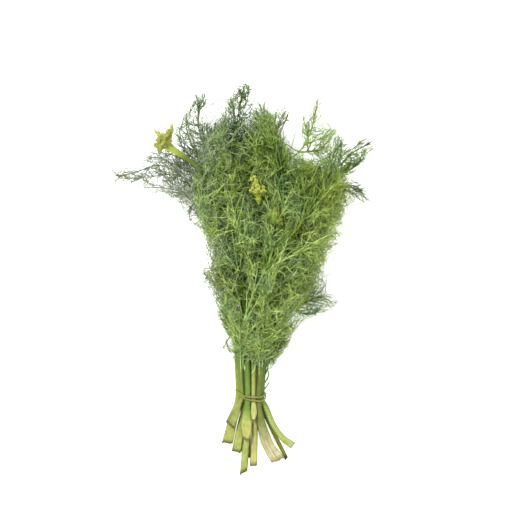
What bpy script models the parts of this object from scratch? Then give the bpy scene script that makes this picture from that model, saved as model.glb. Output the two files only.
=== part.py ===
"""A bunch of dill: thirteen cut leafy stems, tied with a rubber band that goes round twice, lying on a table.

The origin is the middle of the band's flat underside, on the table. +X runs across the bunch, +Y along it from
the cut ends to the feathery tips, and +Z up from the table. Sizes are millimetres in the tables below, and the
meshes are metres.

Every stem is two nodes, because it has two colours: a pale stalk with the broad sheath at its cut end, and the
green leafy top above it. A top is a thin axis with feathery fronds, each a rachis with needle-like leaflets.
Each top keeps to the space that is nearer to its own axis than to any other stem's, so no two of them meet.
"""

import math
import random
from dataclasses import dataclass, field

import bmesh
import bpy
import numpy as np
from mathutils import Vector

MM = 0.001
SEED = 20
JOINT_GAP = 0.3

# The rubber band
BAND_WIDE = 1.5
BAND_THICK = 1.1
BAND_INNER_X = 11.95
BAND_INNER_Z = 6.75
BAND_CENTRE_Z = 7.9
BAND_SQUARENESS = 3.3
BAND_STEPS = 32
BAND_SPREAD = 1.5
BAND_LIFT = 0.85
BAND_DIP = 3.4
BAND_TILT = 1.2

# The leafy tops
NECK_RADIUS = 1.55
AXIS_TIP_RADIUS = 0.75
AXIS_SIDES = 5
TERMINAL_LENGTH = 62.0
GOLDEN_TURN = math.radians(137.5)
FROND_LENGTH = 44.0
FROND_ANGLE = math.radians(40)
RACHIS_WIDE = 0.85
RACHIS_TIP_WIDE = 0.5
LEAFLET_BASE = 1.5
LEAFLET_LEAN = math.radians(46)
LEAFLET_LENGTH = 21.0
LEAST_LEAFLET = 5.0
TERRITORY_GAP = 2.1
RACHIS_CLEAR = 3.4
TABLE_CLEAR = 1.1

# Outline of the dense foliage: height along the bunch, left edge, right edge and top
OUTLINE = [
    (30, -26, 29, 30),
    (50, -27, 38, 40),
    (85, -31, 50, 52),
    (127, -38, 70, 61),
    (170, -56, 86, 65),
    (200, -56, 88, 65),
    (225, -52, 74, 58),
    (245, -26, 40, 50),
    (272, -18, 12, 42),
]


@dataclass(frozen=True)
class Sheath:
    """The broad base of a stalk: half widths at the cut and at its belly, half thickness, gutter depth and cut slant."""

    cut: float
    belly: float
    thick: float
    gutter: float = 0.0
    slant: float = 0.0
    roll: float = 0.0


@dataclass(frozen=True)
class Stem:
    """One leafy stem: the way of its foot from the cut to the band, its place in the band and its way to the tip."""

    name: str
    sheath: Sheath
    foot: list
    tie: tuple
    tie_half: tuple
    way: list
    neck: float
    fronds: int
    first_turn: float
    terminal: float = TERMINAL_LENGTH
    leaflet: float = LEAFLET_LENGTH
    free: bool = False
    sprays: list = field(default_factory=list)


TOP, MID, LOW = 12.1, 7.9, 3.75

# The yellow umbel at the tip of top_3: its hub, and the flower heads at the ends of its rays with their half widths
UMBEL_HUB = [(6.7, 165.1, 53.3), (6.6, 167.6, 54.4), (6.2, 170.6, 55.6)]
UMBEL_HUB_HALF = [1.0, 1.7, 2.5]
UMBEL_HEADS = [
    (-1.2, 179.5, 56.5, 1.6), (0.8, 186.5, 58.0, 2.0), (3.2, 190.8, 58.5, 2.1), (4.4, 184.5, 61.0, 2.3),
    (6.8, 189.5, 59.0, 1.9), (2.2, 180.5, 60.0, 2.2), (8.0, 183.0, 60.5, 1.7), (12.8, 178.8, 57.5, 2.1),
    (13.4, 183.2, 56.5, 1.3), (10.0, 176.5, 60.0, 1.8), (5.6, 178.0, 62.0, 1.9),
]

# The lime sheath at the tip of top_2, its half widths, and the lobes of the young leaf that comes out of it
BUD_WAY = [(-44.2, 196.8, 46.6), (-52, 204.5, 48.2), (-60.5, 211, 49.4), (-68, 216.4, 50.2), (-72.5, 219.4, 50.6)]
BUD_HALF = [1.6, 2.4, 3.8, 4.4, 3.4]
BUD_LOBES = [
    (-82.6, 229.6, 52.0, 2.3), (-77.6, 227.8, 55.0, 2.3), (-67.0, 234.6, 53.0, 2.2), (-72.0, 229.0, 56.0, 2.4),
    (-80.0, 210.8, 49.0, 2.2), (-82.8, 216.5, 52.5, 2.3), (-84.0, 222.5, 49.0, 2.0), (-61.8, 230.5, 50.0, 1.3),
]

# The lime young leaf on a side branch of top_1, still folded up
YOUNG_WAY = [(18.8, 149.0, 58.8), (19.2, 152.5, 59.6), (20.2, 156.5, 60.4), (21.0, 161.0, 60.8)]
YOUNG_HALF = [0.9, 2.3, 3.1, 1.9]
YOUNG_TIPS = [
    (14.4, 155.5, 60.0, 1.0), (15.2, 160.5, 61.5, 1.2), (17.5, 164.5, 60.5, 1.2), (21.5, 167.0, 61.0, 1.2),
    (25.5, 164.0, 60.5, 1.2), (26.4, 158.5, 61.5, 1.1), (25.2, 153.0, 59.5, 1.0), (19.8, 158.5, 64.4, 1.5),
    (21.5, 153.2, 63.0, 1.1), (16.2, 151.5, 61.0, 0.9),
]

# Half widths that the umbel and the two lime pieces take up, and how far up the space over them is kept free
UMBEL_ROOM = 8.0
BUD_ROOM = 5.2
YOUNG_ROOM = 6.5
SIGHT_STEPS = 4

STEMS = [
    Stem(
        "top_1", Sheath(4.6, 4.4, 1.0, 1.3, -0.25, -18),
        [(-17.5, -25, 14.2), (-11, -12, 12.9), (-7.7, -4.5, 11.75)], (-7.4, TOP - 0.3), (1.68, 1.6),
        [(-9.5, 30, 18.5), (-9, 55, 28), (2, 89, 41), (14.5, 115, 50), (21, 138, 53), (27, 165, 55), (25, 202, 53),
         (15, 241, 46)],
        54, 7, 0.4, sprays=[[(11, 117, 53), (13, 134, 57), (18.6, 148.4, 58.7)]],
    ),
    Stem(
        "top_2", Sheath(4.1, 4.7, 1.3, 0.8, 0.1, 8),
        [(-4.2, -38, 14.2), (-3.8, -20, 12.9)], (-2.9, TOP), (2.6, 1.85),
        [(-3.8, 40, 18), (-5.5, 75, 26), (-8, 110, 36), (-18, 145, 43), (-29, 172, 45), (-44, 196.4, 46.5)],
        66, 7, 2.0, terminal=26,
    ),
    Stem(
        "top_3", Sheath(2.6, 2.7, 1.6, 0.0, 0.25, 0),
        [(2.6, -21, 15.4), (2.4, -9, 13.2)], (2.2, TOP), (1.8, 1.8),
        [(2.4, 40, 18), (3.5, 75, 27), (5, 110, 37), (7, 136, 46), (6.6, 164, 53)],
        60, 5, 3.4, terminal=28,
    ),
    Stem(
        "top_4", Sheath(5.9, 3.4, 1.0, 1.4, 0.2, 14),
        [(23.2, -54, 13.6), (15, -41, 13.2), (8.6, -20, 12.6)], (6.9, TOP), (2.2, 1.8),
        [(12, 40, 19), (19, 80, 31), (30, 120, 43), (45, 153, 51), (56, 172, 53), (80, 204, 51), (104, 220, 46)],
        58, 7, 5.2, terminal=66, free=True,
    ),
    Stem(
        "mid_1", Sheath(4.7, 3.9, 1.2, 1.0, 0.15, -6),
        [(-20.8, -41, 8.6), (-14.5, -20, 8.2)], (-9.4, MID), (2.1, 2.05),
        [(-12, 40, 12), (-17, 85, 19), (-26, 130, 25), (-40, 165, 30), (-52, 184, 33), (-66, 195, 34),
         (-81, 200, 33), (-97, 195, 30), (-116, 190, 26)],
        60, 6, 2.6, terminal=78, leaflet=17, free=True,
    ),
    Stem(
        "mid_2", Sheath(3.9, 3.5, 1.3, 0.7, 0.0, 4),
        [(-12.6, -48, 8.5), (-8.4, -24, 8.1)], (-4.7, MID), (2.1, 2.05),
        [(-6.5, 40, 12), (-9, 85, 19), (-14, 130, 26), (-27, 170, 30), (-36, 208, 31), (-45, 232, 30), (-45, 257, 27)],
        66, 6, 4.0, free=True,
    ),
    Stem(
        "mid_3", Sheath(2.9, 2.9, 1.9, 0.0, -0.7, 10),
        [(-6.2, -66, 8.2), (-3.6, -36, 8.0)], (0.0, MID), (2.1, 2.05),
        [(0, 40, 12.5), (-1, 85, 19), (-4, 130, 26), (-9, 170, 31), (-13, 205, 33), (-12, 237, 32), (-5, 271, 28)],
        70, 6, 0.9, terminal=70,
    ),
    Stem(
        "mid_4", Sheath(3.1, 2.8, 1.5, 0.4, 0.1, -4),
        [(2.2, -59, 8.2), (3.2, -30, 8.0)], (4.7, MID), (2.1, 2.05),
        [(6, 40, 12.5), (9, 85, 19), (13, 130, 26), (14, 170, 31), (17, 205, 32), (33, 247, 28)],
        66, 6, 5.7,
    ),
    Stem(
        "mid_5", Sheath(3.7, 2.6, 1.1, 0.9, -0.1, -12),
        [(35.4, -43.5, 9.4), (26.5, -37, 9.0), (18, -25, 8.6), (12.6, -11, 8.1)], (9.4, MID), (2.1, 2.05),
        [(14, 40, 13), (24, 85, 20), (43, 130, 27), (60, 158, 32), (76, 178, 33), (89, 182, 32), (101, 169, 28)],
        26, 7, 1.2, terminal=58, leaflet=18, free=True,
        sprays=[[(26, 82, 20), (42, 80, 17), (58, 86, 14), (73, 79, 11)]],
    ),
    Stem(
        "low_1", Sheath(2.5, 2.4, 1.6, 0.3, 0.0, 0),
        [(-8.4, -49, 2.7), (-7.6, -24, 3.3)], (-7.05, LOW), (2.1, 1.95),
        [(-10.5, 40, 4.6), (-16, 85, 6.5), (-25, 130, 8), (-37, 160, 9), (-48, 182, 9), (-58, 204, 8)],
        34, 6, 3.0,
        sprays=[[(-12, 52, 5), (-19, 50, 5), (-25, 39, 5)]],
    ),
    Stem(
        "low_2", Sheath(2.0, 2.0, 1.5, 0.0, 0.3, 0),
        [(-2.3, -55, 2.6), (-2.3, -26, 3.3)], (-2.35, LOW), (2.1, 1.95),
        [(-4, 40, 4.8), (-6.5, 85, 7), (-10, 130, 8.5), (-16, 175, 9.5), (-22, 215, 10), (-27, 243, 9)],
        58, 6, 5.0,
    ),
    Stem(
        "low_3", Sheath(3.0, 2.6, 1.4, 0.5, -0.1, 0),
        [(11, -46, 2.8), (5.4, -22, 3.3)], (2.35, LOW), (2.1, 1.95),
        [(4, 40, 4.8), (8, 85, 7), (15, 130, 8.5), (22, 172, 10), (31, 202, 13), (43, 214, 15), (52, 228, 17),
         (58, 258, 17)],
        56, 6, 0.2, terminal=56, leaflet=17, free=True,
    ),
    Stem(
        "low_4", Sheath(1.6, 1.7, 1.4, 0.0, 0.6, 0),
        [(31, -56, 2.2), (17.5, -28, 3.0)], (7.05, LOW), (2.1, 1.95),
        [(13, 40, 4.8), (24, 85, 6.5), (41, 130, 8), (58, 160, 9), (72, 192, 8)],
        24, 7, 2.2,
    ),
]

BASE_COLOURS = {
    "stalk": (0.42, 0.50, 0.12),
    "leaf": (0.10, 0.22, 0.045),
    "young_sheath": (0.40, 0.55, 0.07),
    "umbel": (0.62, 0.52, 0.08),
    "rubber_band": (0.30, 0.24, 0.08),
}


def material(name, roughness):
    """A plain finish of the given colour name."""
    made = bpy.data.materials.new(name)
    made.use_nodes = True
    shader = made.node_tree.nodes["Principled BSDF"]
    shader.inputs["Base Color"].default_value = (*BASE_COLOURS[name], 1.0)
    shader.inputs["Roughness"].default_value = roughness
    shader.inputs["Metallic"].default_value = 0.0
    return made


def smooth_way(points, per_span=12):
    """A Catmull-Rom curve through the points, as a dense array."""
    ends = [2 * np.array(points[0], float) - points[1], *map(np.array, points), 2 * np.array(points[-1], float) - points[-2]]
    made = []
    for a, b, c, d in zip(ends, ends[1:], ends[2:], ends[3:]):
        for k in range(per_span):
            t = k / per_span
            made.append(0.5 * (2 * b + (c - a) * t + (2 * a - 5 * b + 4 * c - d) * t**2 + (3 * b - a - 3 * c + d) * t**3))
    made.append(np.array(points[-1], float))
    return np.array(made)


class Way:
    """A curve that can be read at any length along it."""

    def __init__(self, points):
        self.points = np.array(points, float)
        steps = np.linalg.norm(np.diff(self.points, axis=0), axis=1)
        self.run = np.concatenate([[0.0], np.cumsum(steps)])
        self.length = self.run[-1]

    def at(self, run):
        return np.array([np.interp(run, self.run, self.points[:, k]) for k in range(3)])

    def along(self, run, step=1.5):
        ahead = self.at(min(run + step, self.length)) - self.at(max(run - step, 0.0))
        return ahead / np.linalg.norm(ahead)

    def run_at_height(self, height):
        """The first length at which the curve reaches that height along the bunch."""
        return self.run[int(np.argmax(self.points[:, 1] >= height))]

    def part(self, start, end, step=2.0):
        count = max(2, round((end - start) / step) + 1)
        return Way([self.at(r) for r in np.linspace(start, end, count)])


def unit(v):
    return v / max(np.linalg.norm(v), 1e-9)


def blend(a, b, t):
    t = min(max(t, 0.0), 1.0)
    return a + (b - a) * t * t * (3 - 2 * t)


class Territories:
    """Which space belongs to which stem: a point is a stem's own if that stem's axis is the nearest by a clear gap."""

    def __init__(self, ways, bulky):
        self.ways, self.bulky = ways, bulky

    def room(self, name, point):
        """How much nearer the point is to its own axis than to any other, and the own axis's nearest point.

        The bulky pieces, the umbel and the sheaths, are given with the half widths that they take up.
        """
        own = self.ways[name]
        away = np.linalg.norm(own - point, axis=1)
        nearest = int(np.argmin(away))
        others = min(np.linalg.norm(way - point, axis=1).min() for other, way in self.ways.items() if other != name)
        clear = min(np.linalg.norm(way - point, axis=1).min() - half for way, half in self.bulky)
        return min(others - away[nearest], clear + 1.2), own[nearest]

    def keep(self, name, point, gap):
        """The point, bent in towards its own axis until it is clear of the others by the gap."""
        room, foot = self.room(name, point)
        if room >= gap:
            return point
        low, high = 0.0, 1.0
        for _ in range(7):
            share = (low + high) / 2
            inside = self.room(name, foot + (point - foot) * share)[0] >= gap
            low, high = (share, high) if inside else (low, share)
        return foot + (point - foot) * low


def closest_approach(a, b, c, d):
    """How near the segments a-b and c-d come to each other, and how far along each of them, from 0 to 1."""
    u, v, w = b - a, d - c, a - c
    uu, uv, vv, uw, vw = u @ u, u @ v, v @ v, u @ w, v @ w
    spread = uu * vv - uv * uv
    s = min(max((uv * vw - vv * uw) / spread, 0.0), 1.0) if spread > 1e-9 else 0.0
    t = min(max((uv * s + vw) / max(vv, 1e-9), 0.0), 1.0)
    s = min(max((uv * t - uw) / max(uu, 1e-9), 0.0), 1.0)
    return np.linalg.norm(w + u * s - v * t), s, t


def within_outline(point, spare=0.0):
    """The point, kept above the table and inside the outline of the dense foliage."""
    heights, left, right, top = zip(*OUTLINE)
    x = np.clip(point[0], np.interp(point[1], heights, left) - spare, np.interp(point[1], heights, right) + spare)
    z = np.clip(point[2], 0.0, np.interp(point[1], heights, top) + spare)
    return np.array([x, min(point[1], heights[-1]), z])


def above_table(point, least=0.0):
    return np.array([point[0], point[1], max(point[2], least)])


def add_rings(bm, rings):
    """Vertices for each ring of points, and the quads between them. Returns the quads, one list for each gap."""
    made = [[bm.verts.new(Vector(p) * MM) for p in ring] for ring in rings]
    bands = []
    for low, high in zip(made, made[1:]):
        count = len(low)
        bands.append([bm.faces.new((low[k], low[(k + 1) % count], high[(k + 1) % count], high[k])) for k in range(count)])
    return made, bands


def finish(bm, name, finish_with=None):
    """A named object of the closed mesh, with its faces pointing out."""
    bmesh.ops.recalc_face_normals(bm, faces=bm.faces[:])
    if bm.calc_volume(signed=True) < 0:
        bmesh.ops.reverse_faces(bm, faces=bm.faces[:])
    mesh = bpy.data.meshes.new(name)
    bm.to_mesh(mesh)
    bm.free()
    made = bpy.data.objects.new(name, mesh)
    bpy.context.scene.collection.objects.link(made)
    if finish_with:
        mesh.materials.append(finish_with)
    return made


def stalk_section(half_wide, half_thick, gutter):
    """Eight points of a flattened stalk, with a gutter along its upper side."""
    points = []
    for share, side in [(-1, 0), (-0.62, -1), (0, -1), (0.62, -1), (1, 0), (0.62, 1), (0, 1), (-0.62, 1)]:
        bow = half_thick * math.sqrt(1 - 0.8 * share * share)
        points.append((share * half_wide, gutter * (share * share - 0.5) + side * bow))
    return points


def stalk_rings(stem, way):
    """Rings from the cut end, through the band, to the neck where the leafy top begins."""
    tie_run = way.run_at_height(0.0)
    neck_run = way.run_at_height(stem.neck)
    count = max(8, round(neck_run / 8.5))
    rings = []
    for run in np.linspace(0.0, neck_run, count):
        ahead = way.along(run)
        below = min(run / (0.86 * tie_run), 1.0)
        above = max(run - tie_run, 0.0) / (neck_run - tie_run)
        belly = blend(stem.sheath.cut, stem.sheath.belly, below / 0.35)
        wide = blend(belly, stem.tie_half[0], (below - 0.3) / 0.7)
        thick = blend(stem.sheath.thick, stem.tie_half[1], below)
        gutter = blend(stem.sheath.gutter, 0.0, (below - 0.2) / 0.8)
        wide = blend(wide, NECK_RADIUS, above)
        thick = blend(thick, NECK_RADIUS, above)
        roll = math.radians(blend(stem.sheath.roll, 0.0, below))
        up = np.array([-math.sin(roll), 0.0, math.cos(roll)])
        across = unit(np.cross(ahead, up))
        up = np.cross(across, ahead)
        slant = stem.sheath.slant * (1 - below)
        centre = way.at(run)
        ring = [
            centre + across * x + up * z + ahead * (slant * x + 0.4 * abs(slant) * stem.sheath.cut)
            for x, z in stalk_section(wide, thick, gutter)
        ]
        rings.append([above_table(p) for p in ring])
    return rings


def stalk(stem, way, finish_with):
    """The pale lower part of a stem, one closed solid."""
    bm = bmesh.new()
    rings, _ = add_rings(bm, stalk_rings(stem, way))
    bm.faces.new(rings[0])
    bm.faces.new(rings[-1])
    bmesh.ops.triangulate(bm, faces=bm.faces[:])
    return finish(bm, f"stalk_{stem.name}", finish_with)


def tube(points, radii, sides, turn=0.0, closed_tip=True):
    """Rings of a round tube along the points. The last point is the tip if closed_tip."""
    way = Way(points)
    body = points[:-1] if closed_tip else points
    rings = []
    for k, centre in enumerate(body):
        ahead = way.along(way.run[k], 2.0)
        across = unit(np.cross(ahead, [0.0, 0.0, 1.0]))
        up = np.cross(across, ahead)
        angles = [turn + 2 * math.pi * n / sides for n in range(sides)]
        rings.append([centre + radii[k] * (across * math.cos(a) + up * math.sin(a)) for a in angles])
    return rings


def cap(bm, ring, tip=None):
    """Closes a ring with one face, or with a fan to the tip."""
    if tip is None:
        return bm.faces.new(ring)
    point = bm.verts.new(Vector(tip) * MM)
    return [bm.faces.new((ring[k], ring[(k + 1) % len(ring)], point)) for k in range(len(ring))]


def axis(stem, way, start, end):
    """The thin axis of a leafy top, from its neck to where the terminal frond takes over."""
    count = max(5, round((end - start) / 15))
    runs = np.linspace(start, end, count)
    points = [way.at(r) for r in runs]
    radii = [blend(NECK_RADIUS, AXIS_TIP_RADIUS, k / (count - 1)) for k in range(count)]
    bm = bmesh.new()
    rings, _ = add_rings(bm, tube(points, radii, AXIS_SIDES, closed_tip=False))
    cap(bm, rings[0])
    cap(bm, rings[-1], way.at(end + 3.0))
    return finish(bm, f"axis_{stem.name}")


class Frond:
    """A three-sided rachis with pairs of leaflets raised from its two upper faces, and a leaflet at its tip."""

    def __init__(self, stem, lands, rng):
        self.stem, self.lands, self.rng = stem, lands, rng

    def kept(self, point, gap):
        point = above_table(point) if self.stem.free else within_outline(point)
        return above_table(self.lands.keep(self.stem.name, point, gap))

    def leaflet_tip(self, base, direction, outward, length, rachis, placed):
        """Where a leaflet ends, shortened until it is in the stem's own space and crosses nothing, or None."""
        while length >= LEAST_LEAFLET:
            tip = self.kept(base + direction * length, TERRITORY_GAP)
            inside = all(
                self.lands.room(self.stem.name, base + (tip - base) * t)[0] >= TERRITORY_GAP for t in (0.35, 0.7)
            )
            lean = unit(tip - base)
            sound = np.linalg.norm(tip - base) >= LEAST_LEAFLET and lean @ direction > 0.65 and lean @ outward > 0.5
            if inside and sound and self.crosses_nothing(base, tip, rachis, placed):
                return tip
            length *= 0.8
        return None

    def crosses_nothing(self, base, tip, rachis, placed):
        """Whether a leaflet is clear of the rachis beyond its own root, and of the leaflets already placed."""
        root = base + (tip - base) * 0.12
        for a, b in zip(rachis, rachis[1:]):
            if min(np.linalg.norm(a - base), np.linalg.norm(b - base)) < 1.4 * LEAFLET_BASE:
                if unit(tip - base) @ unit(b - a) > 0.88:
                    return False
                continue
            away, share, _ = closest_approach(root, tip, a, b)
            if away < 1.2 + 0.8 * (1 - share):
                return False
        for other_base, other_tip in placed:
            away, share, other_share = closest_approach(base, tip, other_base, other_tip)
            together = np.linalg.norm(base - other_base) < 1.2 * LEAFLET_BASE
            if not together and away < 0.3 + 0.85 * (2 - share - other_share):
                return False
            if together and unit(tip - base) @ unit(other_tip - other_base) > 0.5:
                return False
        return True

    def build(self, name, points, pairs, leaflet, roll=0.0, root=0.0):
        """One closed mesh along the points. root is how much of its start carries no leaflets."""
        way = Way(points)
        span = (way.length - root) / (pairs + 0.4)
        runs = [0.0]
        for k in range(pairs):
            run = root + span * (k + 0.4)
            runs += [run, run + LEAFLET_BASE]
        tip = way.at(way.length)
        rings, frames = [], []
        for run in runs:
            share = run / way.length
            ahead = way.along(run, 2.5)
            flat = unit(np.cross(ahead, [0.0, 0.0, 1.0]))
            upward = np.cross(flat, ahead)
            across = flat * math.cos(roll) + upward * math.sin(roll)
            upward = np.cross(across, ahead)
            half = RACHIS_WIDE + (RACHIS_TIP_WIDE - RACHIS_WIDE) * share
            centre = way.at(run)
            rings.append([centre - across * half - upward * 0.5 * half, centre + across * half - upward * 0.5 * half,
                          centre + upward * 1.1 * half])
            frames.append((ahead, across, upward))
        lift = max(0.05 - min(p[2] for ring in rings for p in ring), 0.0)
        rings = [[p + np.array([0, 0, lift]) for p in ring] for ring in rings]
        bm = bmesh.new()
        made, bands = add_rings(bm, rings)
        cap(bm, made[0])
        tip = self.kept(tip, TERRITORY_GAP)
        cap(bm, made[-1], tip)
        rachis = [sum(ring) / 3 for ring in rings] + [tip]
        placed = []
        for k in range(pairs):
            ahead, across, upward = frames[2 * k + 1]
            quads = bands[2 * k + 1]
            share = (k + 0.5) / pairs
            length = leaflet * (0.62 + 0.38 * math.sin(math.pi * min(1.0, 0.25 + 0.75 * share))) * (1 - 0.45 * share**3)
            for quad, side in ((quads[1], 1), (quads[2], -1)):
                lean = LEAFLET_LEAN + math.radians(self.rng.uniform(-7, 7))
                rise = self.rng.uniform(-0.05, 0.3)
                direction = unit(ahead * math.cos(lean) + side * across * math.sin(lean) + upward * rise)
                base = np.array(sum((v.co for v in quad.verts), Vector())) / (4 * MM)
                end = self.leaflet_tip(
                    base, direction, side * across + 0.3 * upward, length * self.rng.uniform(0.85, 1.1), rachis, placed
                )
                if end is not None:
                    placed.append((base, end))
                    bmesh.ops.poke(bm, faces=[quad])
                    bm.verts.ensure_lookup_table()
                    bm.verts[-1].co = Vector(end) * MM
        return finish(bm, name)


def frond_route(frond, way, run, turn, length):
    """The way of a side frond: out of the axis at an angle, then curving up beside it, inside the stem's own space."""
    start = way.at(run)
    ahead = way.along(run)
    across = unit(np.cross(ahead, [0.0, 0.0, 1.0]))
    up = np.cross(across, ahead)
    out = across * math.cos(turn) + up * math.sin(turn) * 0.8
    points = []
    for k in range(11):
        share = k / 10
        away = length * math.sin(FROND_ANGLE) * (share - 0.22 * share**2)
        on = length * math.cos(FROND_ANGLE) * (share + 0.12 * share**2)
        point = start + out * away + ahead * on
        points.append(start if k == 0 else above_table(frond.kept(point, RACHIS_CLEAR), TABLE_CLEAR))
    return smooth_points(points)


def smooth_points(points):
    """The points with the kinks taken out, ends kept."""
    made = np.array(points, float)
    for _ in range(3):
        made[1:-1] = 0.25 * made[:-2] + 0.5 * made[1:-1] + 0.25 * made[2:]
    return made


def leafy_top(stem, way, lands, finish_with):
    """The green part of a stem: its axis, side fronds, sprays and terminal frond, joined in one solid."""
    rng = random.Random(f"{SEED}-{stem.name}")
    frond = Frond(stem, lands, rng)
    start = way.run_at_height(stem.neck) + JOINT_GAP + 0.1
    end = way.length - stem.terminal
    body = axis(stem, way, start, end)
    parts = []
    for k in range(stem.fronds):
        share = (k + 0.35) / stem.fronds
        run = start + 4 + (end - start - 6) * share
        turn = stem.first_turn + k * GOLDEN_TURN
        length = FROND_LENGTH * (1.06 - 0.3 * share) * rng.uniform(0.9, 1.12)
        route = frond_route(frond, way, run, turn, length)
        roll = rng.uniform(-0.7, 0.7)
        parts.append(frond.build(f"frond_{stem.name}_{k}", route, 6, stem.leaflet * (1 - 0.15 * share), roll, root=6.0))
    for k, route in enumerate(stem.sprays):
        points = [way.at(way.run_at_height(route[0][1] - 6)), *route]
        parts.append(frond.build(f"spray_{stem.name}_{k}", smooth_way(points, 6), 7, 13.0, 0.2, root=8.0))
    last = way.part(end - 2.0, way.length)
    pairs = max(3, round(stem.terminal / 8.2))
    parts.append(frond.build(f"terminal_{stem.name}", last.points, pairs, stem.leaflet, 0.1, root=3.0))
    return joined(body, parts, f"leafy_top_{stem.name}", finish_with)


def joined(body, parts, name, finish_with):
    """One solid of the body and the parts, by one union on a collection, which is then applied."""
    group = bpy.data.collections.new(f"{name}_parts")
    for part in parts:
        bpy.context.scene.collection.objects.unlink(part)
        group.objects.link(part)
    bpy.context.scene.collection.children.link(group)
    union = body.modifiers.new("join", "BOOLEAN")
    union.operation = "UNION"
    union.operand_type = "COLLECTION"
    union.collection = group
    union.solver = "MANIFOLD"
    graph = bpy.context.evaluated_depsgraph_get()
    mesh = bpy.data.meshes.new_from_object(body.evaluated_get(graph))
    body.modifiers.clear()
    body.data = mesh
    for part in parts:
        bpy.data.objects.remove(part)
    bpy.data.collections.remove(group)
    body.name = mesh.name = name
    mesh.materials.clear()
    mesh.materials.append(finish_with)
    return body


def spindle(start, end, half, name, sides=5, root=0.6):
    """A lobe that swells from a thin root to its half width, then comes to a point."""
    start, end = np.array(start, float), np.array(end, float)
    middle = start + (end - start) * 0.66
    bm = bmesh.new()
    rings, _ = add_rings(bm, tube([start, middle, end], [root, half], sides))
    cap(bm, rings[0])
    cap(bm, rings[-1], end)
    return finish(bm, name)


def flared_tube(points, halves, name, section):
    """A closed solid along the points, with the section given by the half width at each."""
    way = Way(points)
    bm = bmesh.new()
    rings = []
    for k, half in enumerate(halves):
        ahead = way.along(way.run[k], 2.0)
        across = unit(np.cross(ahead, [0.0, 0.0, 1.0]))
        up = np.cross(across, ahead)
        rings.append([way.at(way.run[k]) + across * x + up * z for x, z in section(half)])
    made, _ = add_rings(bm, rings)
    cap(bm, made[0])
    cap(bm, made[-1])
    return finish(bm, name)


def round_section(half):
    return [(half * math.cos(k * math.pi / 3), half * math.sin(k * math.pi / 3)) for k in range(6)]


def clasping_section(half):
    return stalk_section(half, 0.9 + 0.12 * half, 0.28 * half)


def tipped(points, halves, tips, name, section, root_at, finish_with):
    """One solid: a flared tube with a lobe going out of it to each tip. Used for the umbel and the lime pieces."""
    body = flared_tube(points, halves, f"{name}_body", section)
    root = Way(points).at(Way(points).length * root_at)
    lobes = [spindle(root, tip[:3], tip[3], f"{name}_lobe_{k}") for k, tip in enumerate(tips)]
    return joined(body, lobes, name, finish_with)


def band_point(turn):
    """The middle of the band at this angle. It goes round twice, so the angle runs to two full turns."""
    outward = BAND_THICK / 2 + 0.15 + BAND_LIFT
    strand = math.sin(turn / 2) * BAND_LIFT
    cos, sin = math.cos(turn), math.sin(turn)
    power = 2 / BAND_SQUARENESS
    x = math.copysign(abs(cos) ** power, cos) * (BAND_INNER_X + outward + strand)
    z = math.copysign(abs(sin) ** power, sin) * (BAND_INNER_Z + outward + strand)
    y = BAND_SPREAD * math.cos(turn / 2) - BAND_DIP * max(sin, 0.0) ** 2 + BAND_TILT * (-cos) * max(sin, 0.0)
    return np.array([x, y, max(BAND_CENTRE_Z + z, BAND_THICK / 2)])


def rubber_band(finish_with):
    """A flat rubber band wound twice round the stalks, its two turns crossing once at the side."""
    count = 2 * BAND_STEPS
    turns = [4 * math.pi * (k + 0.5) / count for k in range(count)]
    middles = [band_point(t) for t in turns]
    rest = min(range(count), key=lambda k: (middles[k][2], abs(middles[k][0])))
    shift = np.array([0.0, middles[rest][1], 0.0])
    bm = bmesh.new()
    rings = []
    for k, middle in enumerate(middles):
        ahead = unit(middles[(k + 1) % count] - middles[k - 1])
        on_table = middle[2] <= BAND_THICK / 2 + 1e-6
        outward = np.array([0.0, 0.0, -1.0]) if on_table else unit(np.cross([0.0, 1.0, 0.0], ahead))
        along = unit(np.cross(ahead, outward))
        along = np.array([0.0, math.copysign(1.0, along[1]), 0.0]) if on_table else along
        corners = [(1, 1), (1, -1), (-1, -1), (-1, 1)]
        rings.append([
            middle - shift + outward * a * BAND_THICK / 2 + along * b * BAND_WIDE / 2 for a, b in corners
        ])
    add_rings(bm, [*rings, rings[0]])
    bmesh.ops.remove_doubles(bm, verts=bm.verts[:], dist=1e-6)
    bmesh.ops.triangulate(bm, faces=bm.faces[:])
    return finish(bm, "rubber_band", finish_with)


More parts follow.
